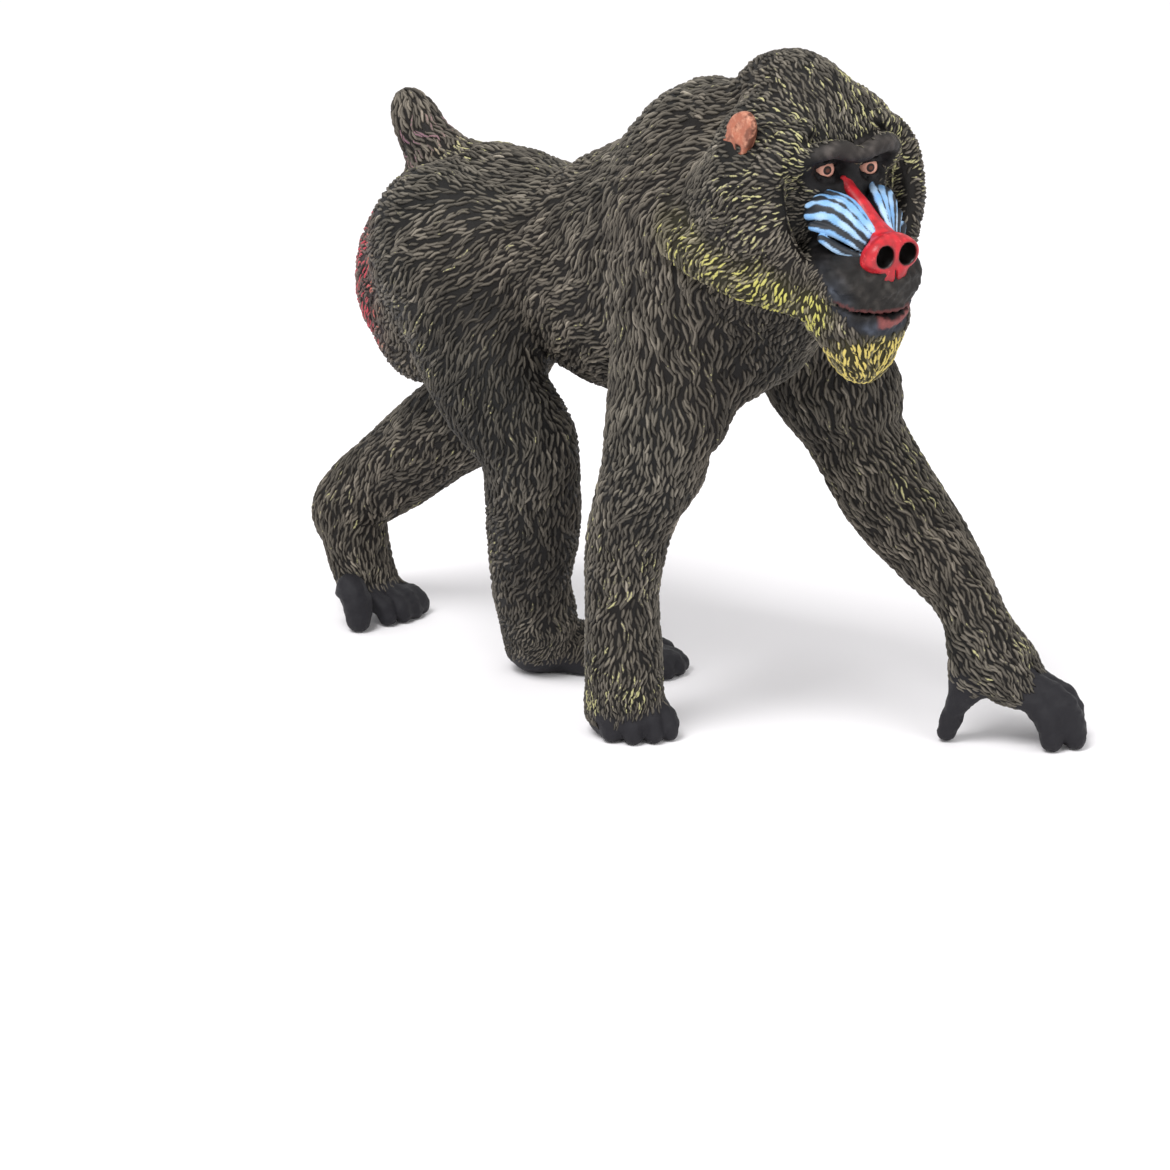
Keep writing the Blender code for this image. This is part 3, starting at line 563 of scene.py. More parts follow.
class Field:
    """Distances on a grid: rough ones everywhere, and exact ones in a band about the surface."""

    def __init__(self, measure, axes, rough_step, band):
        """Measured at rough steps, then again in the band, on the grid that the axes give."""
        self.axes = axes
        rough_axes = [np.arange(axis[0], axis[-1] + rough_step, rough_step) for axis in axes]
        grid = np.stack(np.meshgrid(*rough_axes, indexing="ij"), axis=-1).reshape(-1, 3)
        values = measure(grid).reshape([len(axis) for axis in rough_axes]).astype(np.float32)
        for axis in range(3):
            values = between(values, rough_axes[axis], axes[axis], axis)
        near = np.nonzero(np.abs(values) < band)
        points = np.stack([axes[axis][near[axis]] for axis in range(3)], axis=1)
        values[near] = measure(points)
        self.values = values

    def at(self, points):
        """The distance at any points, straight between the grid's."""
        cell = []
        share = []
        for axis in range(3):
            places = self.axes[axis]
            low = np.clip(np.searchsorted(places, points[:, axis]) - 1, 0, len(places) - 2)
            cell.append(low)
            share.append((points[:, axis] - places[low]) / (places[low + 1] - places[low]))
        total = 0.0
        for dx in (0, 1):
            wx = share[0] if dx else 1 - share[0]
            for dy in (0, 1):
                wy = share[1] if dy else 1 - share[1]
                for dz in (0, 1):
                    wz = share[2] if dz else 1 - share[2]
                    total = total + wx * wy * wz * self.values[cell[0] + dx, cell[1] + dy, cell[2] + dz]
        return total

    def normal(self, points, reach=0.3):
        """The way out of the surface, from differences of the distance along each axis."""
        steps = np.eye(3) * reach
        return unit(np.stack([self.at(points + step) - self.at(points - step) for step in steps], axis=1))

    def settle(self, points, level=0.0, rounds=2):
        """The points moved along the normal until their distance is the level."""
        for _ in range(rounds):
            points = points - (self.at(points) - level)[:, None] * self.normal(points)
        return points


def level_surface(field, level=0.0):
    """Quads through the cells that the surface crosses, each cell's corner at its crossings' mean."""
    values = field.values - level
    full = values < 0
    size = np.array(full.shape)
    count = np.zeros(size - 1, np.int8)
    for dx in (0, 1):
        for dy in (0, 1):
            for dz in (0, 1):
                count += full[dx:size[0] - 1 + dx, dy:size[1] - 1 + dy, dz:size[2] - 1 + dz]
    crossed = (count > 0) & (count < 8)
    cells = np.argwhere(crossed)
    number = np.full(size - 1, -1, np.int64)
    number[crossed] = np.arange(len(cells))
    total = np.zeros((len(cells), 3))
    weight = np.zeros(len(cells))
    corners = [np.array((x, y, z)) for x in (0, 1) for y in (0, 1) for z in (0, 1)]
    for first in corners:
        for second in corners:
            if (second - first).sum() == 1 and (second - first).min() == 0:
                low = values[tuple((cells + first).T)]
                high = values[tuple((cells + second).T)]
                change = (low < 0) != (high < 0)
                share = np.where(change, low / np.where(change, low - high, 1.0), 0.0)
                total += (first + (second - first) * share[:, None]) * change[:, None]
                weight += change
    places = cells + total / weight[:, None]
    points = np.stack([np.interp(places[:, axis], np.arange(size[axis]), field.axes[axis])
                       for axis in range(3)], axis=1)
    quads = []
    for axis in range(3):
        one, two = [other for other in range(3) if other != axis]
        here = [slice(None)] * 3
        there = [slice(None)] * 3
        here[axis] = slice(0, -1)
        there[axis] = slice(1, None)
        edges = np.argwhere(full[tuple(here)] != full[tuple(there)])
        quad = []
        for back_one, back_two in ((1, 1), (0, 1), (0, 0), (1, 0)):
            cell = edges.copy()
            cell[:, one] -= back_one
            cell[:, two] -= back_two
            quad.append(number[tuple(cell.T)])
        quad = np.stack(quad, axis=1)
        outward = full[tuple(edges.T)] == (axis != 1)
        quad[~outward] = quad[~outward][:, ::-1]
        quads.append(quad)
    return points, np.vstack(quads)


def relaxed(points, quads, rounds):
    """Each corner moved half way to the mean of its neighbours, round after round."""
    ends = np.vstack([quads[:, [side, (side + 1) % 4]] for side in range(4)])
    here, there = np.hstack((ends[:, 0], ends[:, 1])), np.hstack((ends[:, 1], ends[:, 0]))
    count = np.bincount(here, minlength=len(points))
    for _ in range(rounds):
        mean = np.stack([np.bincount(here, points[there, axis], len(points)) for axis in range(3)], axis=1)
        points = 0.5 * points + 0.5 * mean / np.maximum(count, 1)[:, None]
    return points


def small_surface(measure, low, high, step, rounds=2):
    """The level surface of a small piece, on an even fine grid."""
    axes = [np.arange(start, stop + step, step) for start, stop in zip(low, high)]
    field = Field(measure, axes, step * 3, step * 5)
    points, quads = level_surface(field)
    return field.settle(relaxed(points, quads, rounds), rounds=1), quads


# Materials

def linear(code):
    """An sRGB hex colour as linear values."""
    values = np.array([int(code[place:place + 2], 16) for place in (1, 3, 5)]) / 255.0
    return np.where(values <= 0.04045, values / 12.92, ((values + 0.055) / 1.055) ** 2.4)


def add_node(tree, kind, settings=None, **links):
    """Add a shader node; a link's value is an output socket or a plain value for that input."""
    node = tree.nodes.new(kind)
    for name, value in (settings or {}).items():
        setattr(node, name, value)
    for name, value in links.items():
        key = int(name[1:]) if name[0] == "i" and name[1:].isdigit() else name.replace("_", " ")
        if isinstance(value, bpy.types.NodeSocket):
            tree.links.new(value, node.inputs[key])
        else:
            node.inputs[key].default_value = value
    return node


def blank_material(name):
    """A node material with nothing in it yet."""
    material = bpy.data.materials.new(name)
    material.use_nodes = True
    material.node_tree.nodes.clear()
    return material


def ramp(tree, factor, stops):
    """A colour ramp from factor, with stops of place and grey level."""
    node = add_node(tree, "ShaderNodeValToRGB", Fac=factor)
    for index, (place, level) in enumerate(stops):
        element = node.color_ramp.elements[index]
        element.position = place
        element.color = (level, level, level, 1.0)
    return node.outputs["Color"]


# Grain of the pigment, in millimetres.
PIGMENT = 1 / 9
# Places on the ramp between which the dry-brushed colour comes in.
CATCH = (0.42, 0.62)


def painted_pvc(name, roughness, grain, clot, gloss):
    """Acrylic paint sprayed and dry-brushed on moulded soft PVC, its paint clots so many mm wide.

    The attribute paint is the ground colour.  The attribute glaze is the dry-brushed colour, which
    catches only on high spots: it shows where the attribute brush beats a fine noise.
    """
    material = blank_material(name)
    tree = material.node_tree
    place = add_node(tree, "ShaderNodeTexCoord").outputs["Object"]
    ground = add_node(tree, "ShaderNodeAttribute", {"attribute_name": "paint"}).outputs["Color"]
    glaze = add_node(tree, "ShaderNodeAttribute", {"attribute_name": "glaze"}).outputs["Color"]
    brush = add_node(tree, "ShaderNodeAttribute", {"attribute_name": "brush"}).outputs["Fac"]
    clots = add_node(tree, "ShaderNodeTexNoise", Vector=place, Scale=1 / (clot * MM), Detail=3.0,
                     Roughness=0.6)
    fine = add_node(tree, "ShaderNodeTexNoise", Vector=place, Scale=1 / (PIGMENT * MM), Detail=2.0,
                    Roughness=0.6)
    catch = add_node(tree, "ShaderNodeMath", {"operation": "SUBTRACT"}, i0=brush, i1=clots.outputs["Fac"])
    share = ramp(tree, add_node(tree, "ShaderNodeMath", {"operation": "ADD"}, i0=catch.outputs[0],
                                i1=0.5).outputs[0], ((CATCH[0], 0.0), (CATCH[1], 1.0)))
    colour = add_node(tree, "ShaderNodeMixRGB", Fac=share, Color1=ground, Color2=glaze).outputs["Color"]
    tone = add_node(tree, "ShaderNodeMapRange", Value=fine.outputs["Fac"], To_Min=0.72, To_Max=1.3)
    colour = add_node(tree, "ShaderNodeMixRGB", {"blend_type": "MULTIPLY"}, Fac=1.0, Color1=colour,
                      Color2=tone.outputs[0]).outputs["Color"]
    rough = add_node(tree, "ShaderNodeMapRange", Value=clots.outputs["Fac"], To_Min=roughness - 0.1,
                     To_Max=roughness + 0.12)
    bump = add_node(tree, "ShaderNodeBump", Height=fine.outputs["Fac"], Strength=grain, Distance=0.00012)
    shader = add_node(tree, "ShaderNodeBsdfPrincipled", Base_Color=colour, Roughness=rough.outputs[0],
                      Normal=bump.outputs[0], IOR=1.5, Specular_IOR_Level=gloss)
    add_node(tree, "ShaderNodeOutputMaterial", Surface=shader.outputs["BSDF"])
    return material


def table_surface(name):
    """A matt white sweep of paper under the figurine."""
    material = blank_material(name)
    tree = material.node_tree
    shader = add_node(tree, "ShaderNodeBsdfPrincipled", Base_Color=(*linear("#f3f1f3"), 1.0), Roughness=0.9)
    add_node(tree, "ShaderNodeOutputMaterial", Surface=shader.outputs["BSDF"])
    return material


# Meshes

def add_piece(name, points, faces, material, paint, glaze, brush, corner_uv=None):
    """A mesh object from arrays: corners in the figurine's frame, and faces of equal corner counts.

    Each corner has its ground colour, its dry-brushed colour and the strength of the brush.
    """
    mesh = bpy.data.meshes.new(name)
    corners = faces.shape[1]
    mesh.vertices.add(len(points))
    mesh.vertices.foreach_set("co", ((points + SHIFT) * MM).astype(np.float32).ravel())
    mesh.loops.add(faces.size)
    mesh.loops.foreach_set("vertex_index", faces.astype(np.int32).ravel())
    mesh.polygons.add(len(faces))
    mesh.polygons.foreach_set("loop_start", np.arange(0, faces.size, corners, dtype=np.int32))
    mesh.update(calc_edges=True)
    mesh.shade_smooth()
    for key, values in (("paint", paint), ("glaze", glaze)):
        layer = mesh.attributes.new(key, "FLOAT_COLOR", "POINT")
        values = np.hstack((values, np.ones((len(values), 1))))
        layer.data.foreach_set("color", values.astype(np.float32).ravel())
    layer = mesh.attributes.new("brush", "FLOAT", "POINT")
    layer.data.foreach_set("value", brush.astype(np.float32))
    if corner_uv is not None:
        layer = mesh.uv_layers.new(name="OFBake")
        layer.data.foreach_set("uv", corner_uv.astype(np.float32).ravel())
    mesh.materials.append(material)
    piece = bpy.data.objects.new(name, mesh)
    bpy.context.scene.collection.objects.link(piece)
    return piece


# Paint

COAT_GROUND = linear("#2b2a27")
# The strokes' crest colour: a painted highlight that the crests take over their ground colour.
COAT_CREST = linear("#847d71")
COAT_BROWN = linear("#393029")
# How much of its ground colour the coat keeps under painted shade: down in the grooves between
# strokes and at the strokes' feet. Then the least strength of the dry brush on it.
GROOVE_SHADE = 0.18
BRUSH_LEAST = 0.20
OLIVE_GLAZE = linear("#b0ac7c")
YELLOW_GLAZE = linear("#b9b45f")
RUFF_GROUND = linear("#6b6638")
BEARD_GROUND = linear("#6f6836")
BEARD_GLAZE = linear("#c9b766")
RUMP_GROUND = linear("#4a2528")
RUMP_GLAZE = linear("#b5404d")
TAIL_GLAZE = linear("#7d5a68")
SKIN_DARK = linear("#1a1819")
MUZZLE_GREY = linear("#2e2b28")
MUZZLE_LIGHT = linear("#77766c")
CHIN_BLUE = linear("#4c5462")
LIP_BROWN = linear("#7c4543")
# Heights of the coarse and the fine creases of the bare skin.
CREASE_COARSE = 0.42
CREASE_FINE = 0.22
BROW_GREY = linear("#3f3a37")
HAND_BLACK = linear("#1f1e22")
RED = linear("#bd1a26")
RED_DEEP = linear("#86131b")
RED_GLAZE = linear("#e04a50")
BLUE = linear("#6f9fcf")
BLUE_PALE = linear("#a3c1dd")
GROOVE_DARK = linear("#1c2026")
EAR_TAN = linear("#a0604a")
EAR_DARK = linear("#4c2b20")
EAR_GLAZE = linear("#b88068")
EYE_WHITE = linear("#d9a08c")
EYE_RIM = linear("#1c0d09")
EYE_IRIS = linear("#5c2e1c")
PUPIL = linear("#160d0a")


def plain(colour, points):
    """The same colour for every point."""
    return np.repeat(colour[None], len(points), axis=0)


def mixed(first, second, share):
    """Colours mixed by a share for each point."""
    return first + (second - first) * share[:, None]


def mixed_number(first, second, share):
    """Numbers mixed by a share for each point."""
    return first + (second - first) * share


def blob(points, centre, radii, soft=0.3, axes=WORLD_AXES):
    """1 in an ellipsoid and 0 outside it, with a soft rim."""
    return 1.0 - ease(radii_away(points, np.asarray(centre, float), radii, axes), 1 - soft, 1 + soft)


def head_blob(points, centre, radii, soft=0.3, both=False):
    """A blob given in head axes, on both sides if asked."""
    share = blob(points, head_point(centre), radii, soft, HEAD_AXES)
    if both:
        forward, left, up = centre
        share = np.maximum(share, blob(points, head_point((forward, -left, up)), radii, soft, HEAD_AXES))
    return share


def patches(points, size, seed):
    """Smooth patches between 0 and 1 of about that size: a sum of sines of slanted places."""
    rng = np.random.default_rng(seed)
    total = np.zeros(len(points))
    for _ in range(5):
        way = unit(rng.normal(size=3)) * 2 * math.pi / (size * rng.uniform(0.7, 1.6))
        total += np.sin(points @ way + rng.uniform(0, 2 * math.pi))
    return 0.5 + 0.5 * np.tanh(total * 0.6)


def strongest(points, spots, soft):
    """The strongest of several blobs, each with its centre, its radii and its strength."""
    return np.max([strength * blob(points, centre, radii, soft) for centre, radii, strength in spots], 0)


def hand_share(points):
    """1 on the bare hands and feet, which are painted near black."""
    share = ease(-points[:, 2], -3.6, -2.2)
    close = np.full(len(points), FAR, np.float32)
    for digit in DIGITS:
        rows = digit_rows(*digit)
        close = np.minimum(close, loft(points.astype(np.float32), rows))
    share = np.maximum(share, 1.0 - ease(close, 0.15, 0.5))
    return np.maximum(share, blob(points, (34.0, 13.6, 4.6), (4.0, 3.2, 7.0), 0.25))


def face_share(points):
    """1 on the smooth bare face, from brow to chin, within the ring of fur."""
    share = head_blob(points, (5.0, 0.0, -8.2), (8.0, 7.0, 10.6), 0.06)
    share = np.maximum(share, head_blob(points, (0.2, 3.0, 0.1), (3.4, 3.3, 2.5), 0.1, both=True))
    return np.maximum(share, head_blob(points, (1.6, 3.0, 2.0), (3.2, 3.5, 2.0), 0.1, both=True))


def bare_share(points):
    """1 where the figurine has no engraved fur."""
    share = np.maximum(face_share(points), hand_share(points))
    for place in EARS.values():
        share = np.maximum(share, head_blob(points, place, (1.7, 2.0, 2.8), 0.1))
    return share


def hand_near(points):
    """1 near the floor, where hands and feet carry the finest strokes."""
    return ease(-points[:, 2], -13.0, -4.0)


def face_near(points):
    """1 about the face, which has fine strokes too."""
    return head_blob(points, (3.0, 0.0, -5.0), (9.0, 10.0, 12.0), 0.25)


def ruff_share(points):
    """1 on the yellow whiskers that sweep back from the jaw."""
    share = np.zeros(len(points))
    for forward, left, up, radius, strength in (
            (1.4, 5.6, -14.8, 3.2, 1.0), (-1.6, 7.8, -14.2, 3.6, 1.0), (-4.6, 9.6, -13.4, 3.8, 0.9),
            (-8.0, 11.2, -12.2, 4.0, 0.75), (-12.0, 13.2, -10.0, 3.8, 0.65), (-15.2, 14.6, -7.8, 3.2, 0.6)):
        patch = head_blob(points, (forward, left, up), (radius,) * 3, 0.45, both=True)
        share = np.maximum(share, strength * patch)
    return share


def beard_share(points):
    """1 on the yellow beard below the chin."""
    return head_blob(points, (4.6, 0.0, -21.3), (7.0, 6.6, 4.0), 0.12)


def painted_shade_share(points):
    """1 where shade is painted darkest: thighs, belly, chest and the insides of the limbs, under and
    between the body's parts.
    """
    return strongest(points, (
        ((-20.0, -10.0, 38.0), (9.0, 9.0, 9.0), 1.0), ((-22.0, -9.0, 46.0), (9.0, 10.0, 9.0), 0.8),
        ((-18.0, -6.0, 24.0), (8.0, 8.0, 14.0), 0.6), ((-10.0, 0.0, 42.0), (14.0, 11.0, 6.0), 0.5),
        ((17.0, -8.0, 50.0), (9.0, 9.0, 9.0), 0.5), ((16.0, 12.0, 45.0), (8.0, 8.0, 9.0), 0.4),
        ((-30.0, 0.0, 38.0), (12.0, 6.0, 8.0), 0.7), ((6.0, 0.0, 42.0), (9.0, 9.0, 8.0), 0.6),
    ), 0.5)


def coat_paint(points):
    """Ground colour, dry-brushed colour and brush strength of the coat at each point."""
    ground = plain(COAT_GROUND, points)
    ground = mixed(ground, COAT_BROWN, 0.8 * patches(points, 16.0, 3))
    glaze = plain(OLIVE_GLAZE, points)
    brush = np.maximum(BRUSH_LEAST, strongest(points, (
        ((-36.0, 0.0, 64.0), (12.0, 12.0, 5.0), 0.42), ((-30.0, -15.0, 46.0), (9.0, 6.0, 8.0), 0.30),
        ((4.0, -14.0, 26.0), (6.0, 7.0, 12.0), 0.34), ((2.0, -12.0, 9.0), (7.0, 7.0, 8.0), 0.38),
        ((24.0, 14.0, 32.0), (8.0, 8.0, 9.0), 0.40), ((36.0, 18.0, 14.0), (7.0, 7.0, 7.0), 0.34),
        ((-20.0, -7.0, 24.0), (7.0, 8.0, 12.0), 0.28), ((-54.0, 3.0, 16.0), (10.0, 7.0, 9.0), 0.30),
    ), 0.6))
    ring = head_blob(points, (-3.5, 0.0, 3.0), (7.0, 14.0, 9.5), 0.3)
    brush = np.maximum(brush, 0.44 * ring)
    brush = np.maximum(brush, 0.46 * head_blob(points, (-4.5, 10.5, -4.0), (5.0, 5.0, 8.5), 0.3, both=True))
    brush = brush * (0.72 + 0.5 * patches(points, 7.0, 11))
    ruff = ruff_share(points)
    glaze = mixed(glaze, YELLOW_GLAZE, ruff)
    ground = mixed(ground, RUFF_GROUND, 0.75 * ruff)
    brush = np.maximum(brush, 0.82 * ruff * (0.8 + 0.3 * patches(points, 4.0, 5)))
    beard = beard_share(points)
    ground = mixed(ground, BEARD_GROUND, beard)
    glaze = mixed(glaze, BEARD_GLAZE, beard)
    brush = np.maximum(brush, 0.85 * beard)
    rear = ease(0.45 * np.abs(points[:, 1]) - points[:, 0], 42.6, 47.0)
    rear = rear * ease(points[:, 2], 37.0, 42.0) * ease(-points[:, 2], -63.0, -57.0)
    ground = mixed(ground, RUMP_GROUND, rear)
    glaze = mixed(glaze, RUMP_GLAZE, rear)
    brush = np.maximum(brush, 0.62 * rear)
    tail = blob(points, (-40.0, 0.0, 65.0), (5.0, 6.0, 4.5), 0.4)
    glaze = mixed(glaze, TAIL_GLAZE, tail)
    brush = np.maximum(brush, 0.5 * tail)
    spots = ((-14.5, -6.5, 5.0), (6.0, -14.5, 7.0), (0.0, -15.5, 5.5), (42.5, 19.0, 9.5))
    dabs = strongest(points, [(spot, (2.0, 2.0, 1.6), 0.7) for spot in spots], 0.4)
    return ground, glaze, np.maximum(brush, dabs)


def skin_paint(points):
    """The coat's paint, darkened by painted shade between the strokes and more on thighs, belly and chest,
    with the bare face, hands and feet.
    """
    ground, glaze, brush = coat_paint(points)
    # Painted shade: the skin under the strokes is darkened as the grooves' shade, and more where shade is
    # painted on thighs, belly and chest.
    ground = ground * (GROOVE_SHADE * (1 - 0.6 * painted_shade_share(points)))[:, None]
    brush = brush * 0.2
    hands = hand_share(points)
    ground = mixed(ground, HAND_BLACK, hands)
    brush = mixed_number(brush, 0.10, hands)
    face = face_share(points)
    bare = mixed(plain(SKIN_DARK, points), MUZZLE_GREY,
                 head_blob(points, (6.0, 0.0, -12.6), (7.0, 7.5, 3.4), 0.5))
    jowls = head_blob(points, (3.0, 5.4, -14.0), (3.4, 2.6, 3.4), 0.5, both=True)
    bare = mixed(bare, CHIN_BLUE, 0.6 * jowls)
    bare = mixed(bare, CHIN_BLUE, 0.5 * head_blob(points, (6.0, 0.0, -18.0), (4.5, 5.5, 1.8), 0.5))
    local = in_head_axes(points)
    level = local[:, 2] - MOUTH[0][2] + (local[:, 0] - MOUTH[0][0]) * math.tan(math.radians(MOUTH_TILT))
    upper = ease(local[:, 0], 4.9, 5.6) * ease(-np.abs(level - 0.5), -0.34, -0.18)
    lower = ease(local[:, 0], 5.4, 6.4) * ease(-np.abs(level + 0.78), -0.75, -0.5)
    lower = lower * ease(-np.abs(local[:, 1] - 1.5), -3.2, -2.4)
    bare = mixed(bare, BROW_GREY, head_blob(points, (1.9, 2.4, 3.2), (2.4, 4.4, 1.4), 0.5, both=True))
    bare = bare * (0.45 + 1.1 * patches(points, 0.9, 81) * patches(points, 2.6, 83))[:, None]
    bare = mixed(bare, LIP_BROWN * 0.5, upper)
    bare = mixed(bare, LIP_BROWN, lower)
    gap = ease(local[:, 0], 2.6, 3.4) * ease(-np.abs(level), -0.35, -0.2)
    bare = mixed(bare, SKIN_DARK * 0.4, gap)
    ground = mixed(ground, bare, face)
    glaze = mixed(glaze, MUZZLE_LIGHT, face)
    scuffs = 0.06 + 0.14 * ease(-local[:, 2], 8.0, 10.0) * patches(points, 1.2, 17)
    brush = mixed_number(brush, scuffs * (1 - lower), face)
    return ground, glaze, brush


def skin_relief(points):
    """Height of the sculpted creases on the bare skin: coarse and fine patches, faded on the hands."""
    muzzle = face_share(points) * ease(-in_head_axes(points)[:, 2], 8.0, 10.5)
    brow = 0.5 * head_blob(points, (1.9, 0.0, 3.0), (2.6, 7.0, 2.0), 0.4)
    share = np.maximum(np.maximum(muzzle, brow), 0.6 * hand_share(points) * ease(points[:, 2], 0.8, 2.0))
    coarse = patches(points * (0.7, 0.7, 1.5), 2.0, 61) - 0.5
    fine = patches(points, 0.85, 63) - 0.5
    return share * (CREASE_COARSE * coarse + CREASE_FINE * fine)


# The lie of the coat

# Places on the trunk's right side with the way its strokes lie there. The left side mirrors them.
TRUNK_LIE = (
    (-36.0, -4.0, 64.0, -1.0, 0.0, -0.05),
    (-20.0, -3.0, 67.0, -1.0, 0.0, -0.15),
    (-5.0, -3.0, 71.0, -0.93, 0.0, -0.35),
    (-40.0, -9.0, 57.0, -0.9, 0.15, -0.4),
    (-43.0, -6.0, 47.0, -0.7, 0.3, -0.7),
    (-32.0, -13.0, 53.0, -0.85, 0.0, -0.55),
    (-22.0, -12.0, 56.0, -0.82, 0.0, -0.58),
    (-12.0, -12.0, 58.0, -0.8, 0.0, -0.6),
    (-14.0, -11.0, 47.0, -0.88, 0.0, -0.48),
    (-5.0, -12.0, 48.0, -0.85, 0.0, -0.5),
    (-8.0, -2.0, 42.0, -1.0, 0.0, -0.05),
    (-36.0, -12.0, 44.0, -0.75, 0.0, -0.66),
    (-28.0, -15.0, 43.0, -0.6, 0.0, -0.8),
    (-21.0, -15.0, 44.0, -0.25, 0.0, -1.0),
    (-16.0, -13.0, 42.0, 0.0, 0.0, -1.0),
    (0.0, -10.0, 76.0, -0.85, 0.0, -0.5),
    (4.0, -14.0, 70.0, -0.75, -0.1, -0.7),
    (-4.0, -14.0, 63.0, -0.5, 0.0, -0.87),
    (2.0, -16.0, 61.0, -0.3, 0.0, -1.0),
    (6.0, -16.0, 54.0, -0.05, 0.0, -1.0),
    (9.0, -15.0, 49.0, 0.4, 0.05, -0.9),
    (13.0, -14.0, 50.0, 0.6, 0.3, -0.75),
    (13.0, -14.0, 60.0, -0.1, 0.0, -1.0),
    (12.0, -15.0, 67.0, -0.5, -0.1, -0.9),
    (19.0, -10.0, 54.0, -0.35, 0.1, -0.95),
    (21.0, -3.0, 52.0, -0.1, 0.0, -1.0),
    (15.0, 0.0, 45.0, -0.3, 0.0, -0.95),
    (14.0, -3.0, 81.0, -1.0, 0.0, 0.05),
    (3.0, -4.0, 79.0, -0.93, 0.0, -0.35),
    (20.0, -14.0, 76.0, -0.85, -0.2, -0.35),
    (17.0, -16.0, 70.0, -0.65, -0.1, -0.75),
)
# The same for the head, in head axes.
HEAD_LIE = (
    (0.0, -2.5, 6.0, -0.6, -0.1, 0.8),
    (-4.0, -3.0, 10.5, -0.75, -0.1, 0.6),
    (-10.0, -3.0, 11.5, -1.0, 0.0, -0.1),
    (-2.0, -7.5, 5.0, -0.6, -0.5, 0.6),
    (-5.0, -11.0, 2.0, -0.8, -0.5, 0.05),
    (-4.0, -12.0, -3.0, -0.8, -0.5, -0.15),
    (-3.0, -11.0, -8.0, -0.75, -0.4, -0.5),
    (-9.0, -12.0, -4.0, -0.75, -0.1, -0.6),
    (0.5, -6.5, -13.5, -0.5, -0.3, -0.75),
    (-6.0, -11.0, -12.0, -0.55, -0.15, -0.8),
    (-13.0, -14.0, -9.0, -0.35, -0.1, -0.93),
    (3.0, -4.0, -19.0, 0.1, 0.15, -1.0),
    (6.0, -2.0, -20.5, -0.1, 0.1, -1.0),
    (-6.0, -6.0, -18.0, -0.4, 0.1, -0.9),
    (-13.0, -12.0, 5.0, -0.95, 0.0, -0.3),
)
# Each limb's lie follows its length, with a lean to one side; the first rows lie inside the trunk.
LIMB_LIE = (
    (ARM_RIGHT, 2, (-0.15, 0.0, 0.0)),
    (ARM_LEFT, 1, (0.1, 0.1, -0.1)),
    (LEG_RIGHT, 2, (-0.55, 0.1, 0.0)),
    (LEG_LEFT, 2, (0.0, 0.0, -0.25)),
    (TAIL, 0, (0.35, 0.0, -0.35)),
)
# Strokes part to both sides down the front of the right wrist.
WRIST_LIE = (
    (-1.2, -15.0, 13.0, -0.45, -0.35, -0.8),
    (5.2, -9.6, 13.0, 0.45, 0.35, -0.8),
    (-1.2, -15.0, 7.0, -0.4, -0.3, -0.85),
    (5.4, -9.4, 7.0, 0.4, 0.3, -0.85),
)
# How far a guide's way is felt, and how many points are worked out at a time.
LIE_REACH = 5.5
LIE_BLOCK = 40000


def lie_guides():
    """Places and ways of the coat's lie, over the whole body."""
    trunk = np.array(TRUNK_LIE)
    head = np.array(HEAD_LIE)
    mirror = np.array((1, -1, 1, 1, -1, 1))
    trunk = np.vstack((trunk, trunk * mirror))
    head = np.vstack((head, head * mirror))
    head = np.hstack((head_point(head[:, :3]), head[:, 3:] @ HEAD_AXES))
    guides = [trunk, head, np.array(WRIST_LIE)]
    for rows, first, lean in LIMB_LIE:
        rows = np.array(rows)
        along = unit(np.gradient(rows[:, :3], axis=0)) + lean
        guides.append(np.hstack((rows[first:, :3], along[first:])))
    guides = np.vstack(guides)
    return guides[:, :3], unit(guides[:, 3:])


LIE_PLACES, LIE_WAYS = lie_guides()


def lie(points):
    """The coat's way at each point: the guides' ways, weighed by e to the minus half distance squared.

    The distance is in units of LIE_REACH.
    """
    ways = np.empty_like(points)
    for start in range(0, len(points), LIE_BLOCK):
        part = points[start:start + LIE_BLOCK]
        square = (np.square(part).sum(1)[:, None] - 2 * part @ LIE_PLACES.T
                  + np.square(LIE_PLACES).sum(1)[None])
        square -= square.min(axis=1, keepdims=True)
        ways[start:start + LIE_BLOCK] = np.exp(-0.5 * square / LIE_REACH ** 2) @ LIE_WAYS
    return unit(ways)


# Strokes of fur

# A stroke's rings along its length, as shares of its width and height, and the corners of a ring
# across it: place across as a share of the half width, rise as a share of the height, and painted
# light, from painted shade at the feet to a painted highlight on the crest.
STROKE_TAPER = np.array((0.74, 1.0, 0.94, 0.60))
STROKE_RISE = np.array((0.75, 1.0, 0.95, 0.55))
STROKE_ACROSS = np.array((-1.0, -0.6, 0.0, 0.6, 1.0))
STROKE_UP = np.array((0.0, 0.68, 1.0, 0.68, 0.0))
STROKE_PAINTED_LIGHT = np.array((0.0, 0.42, 1.0, 0.42, 0.0))
# A stroke's foot lies this deep in the skin, so that no gap shows under its edge.
STROKE_ROOT = 0.10
# The least and most of a stroke's length, width and height as shares of its stretch's.
STROKE_LEAST = (0.72, 1.15, 0.80)
STROKE_MOST = (1.18, 1.50, 1.20)
# The side of a stroke's own patch on the bake map.
PATCH = 0.003
# The swing of the lie to both sides: its most, the size of its patches and their seed.
COMB_SWING = ((0.64, 6.0, 21), (0.44, 2.4, 23))
# A stroke's own swing, as the spread of its angle, and the most of its wave.
OWN_SWING = 0.12
WAVE = 0.26
# A stroke's lightness: mean and spread of its natural logarithm, then the least and the rise of its
# drift over patches of that size, and how much is lost under the painted shade of thighs, belly and chest.
TONE_LOG = (-0.10, 0.32)
TONE_DRIFT = (0.72, 0.50, 4.5)
TONE_SHADE = 0.7
# Dry-brushing: the share of strokes that catch much of it, how much they and the others catch, and
# its spread.
DAB_SHARE = 0.35
DAB_CATCH = (1.35, 0.72)
DAB_SPREAD = 0.10
RINGS = len(STROKE_TAPER)
SIDES = len(STROKE_ACROSS)


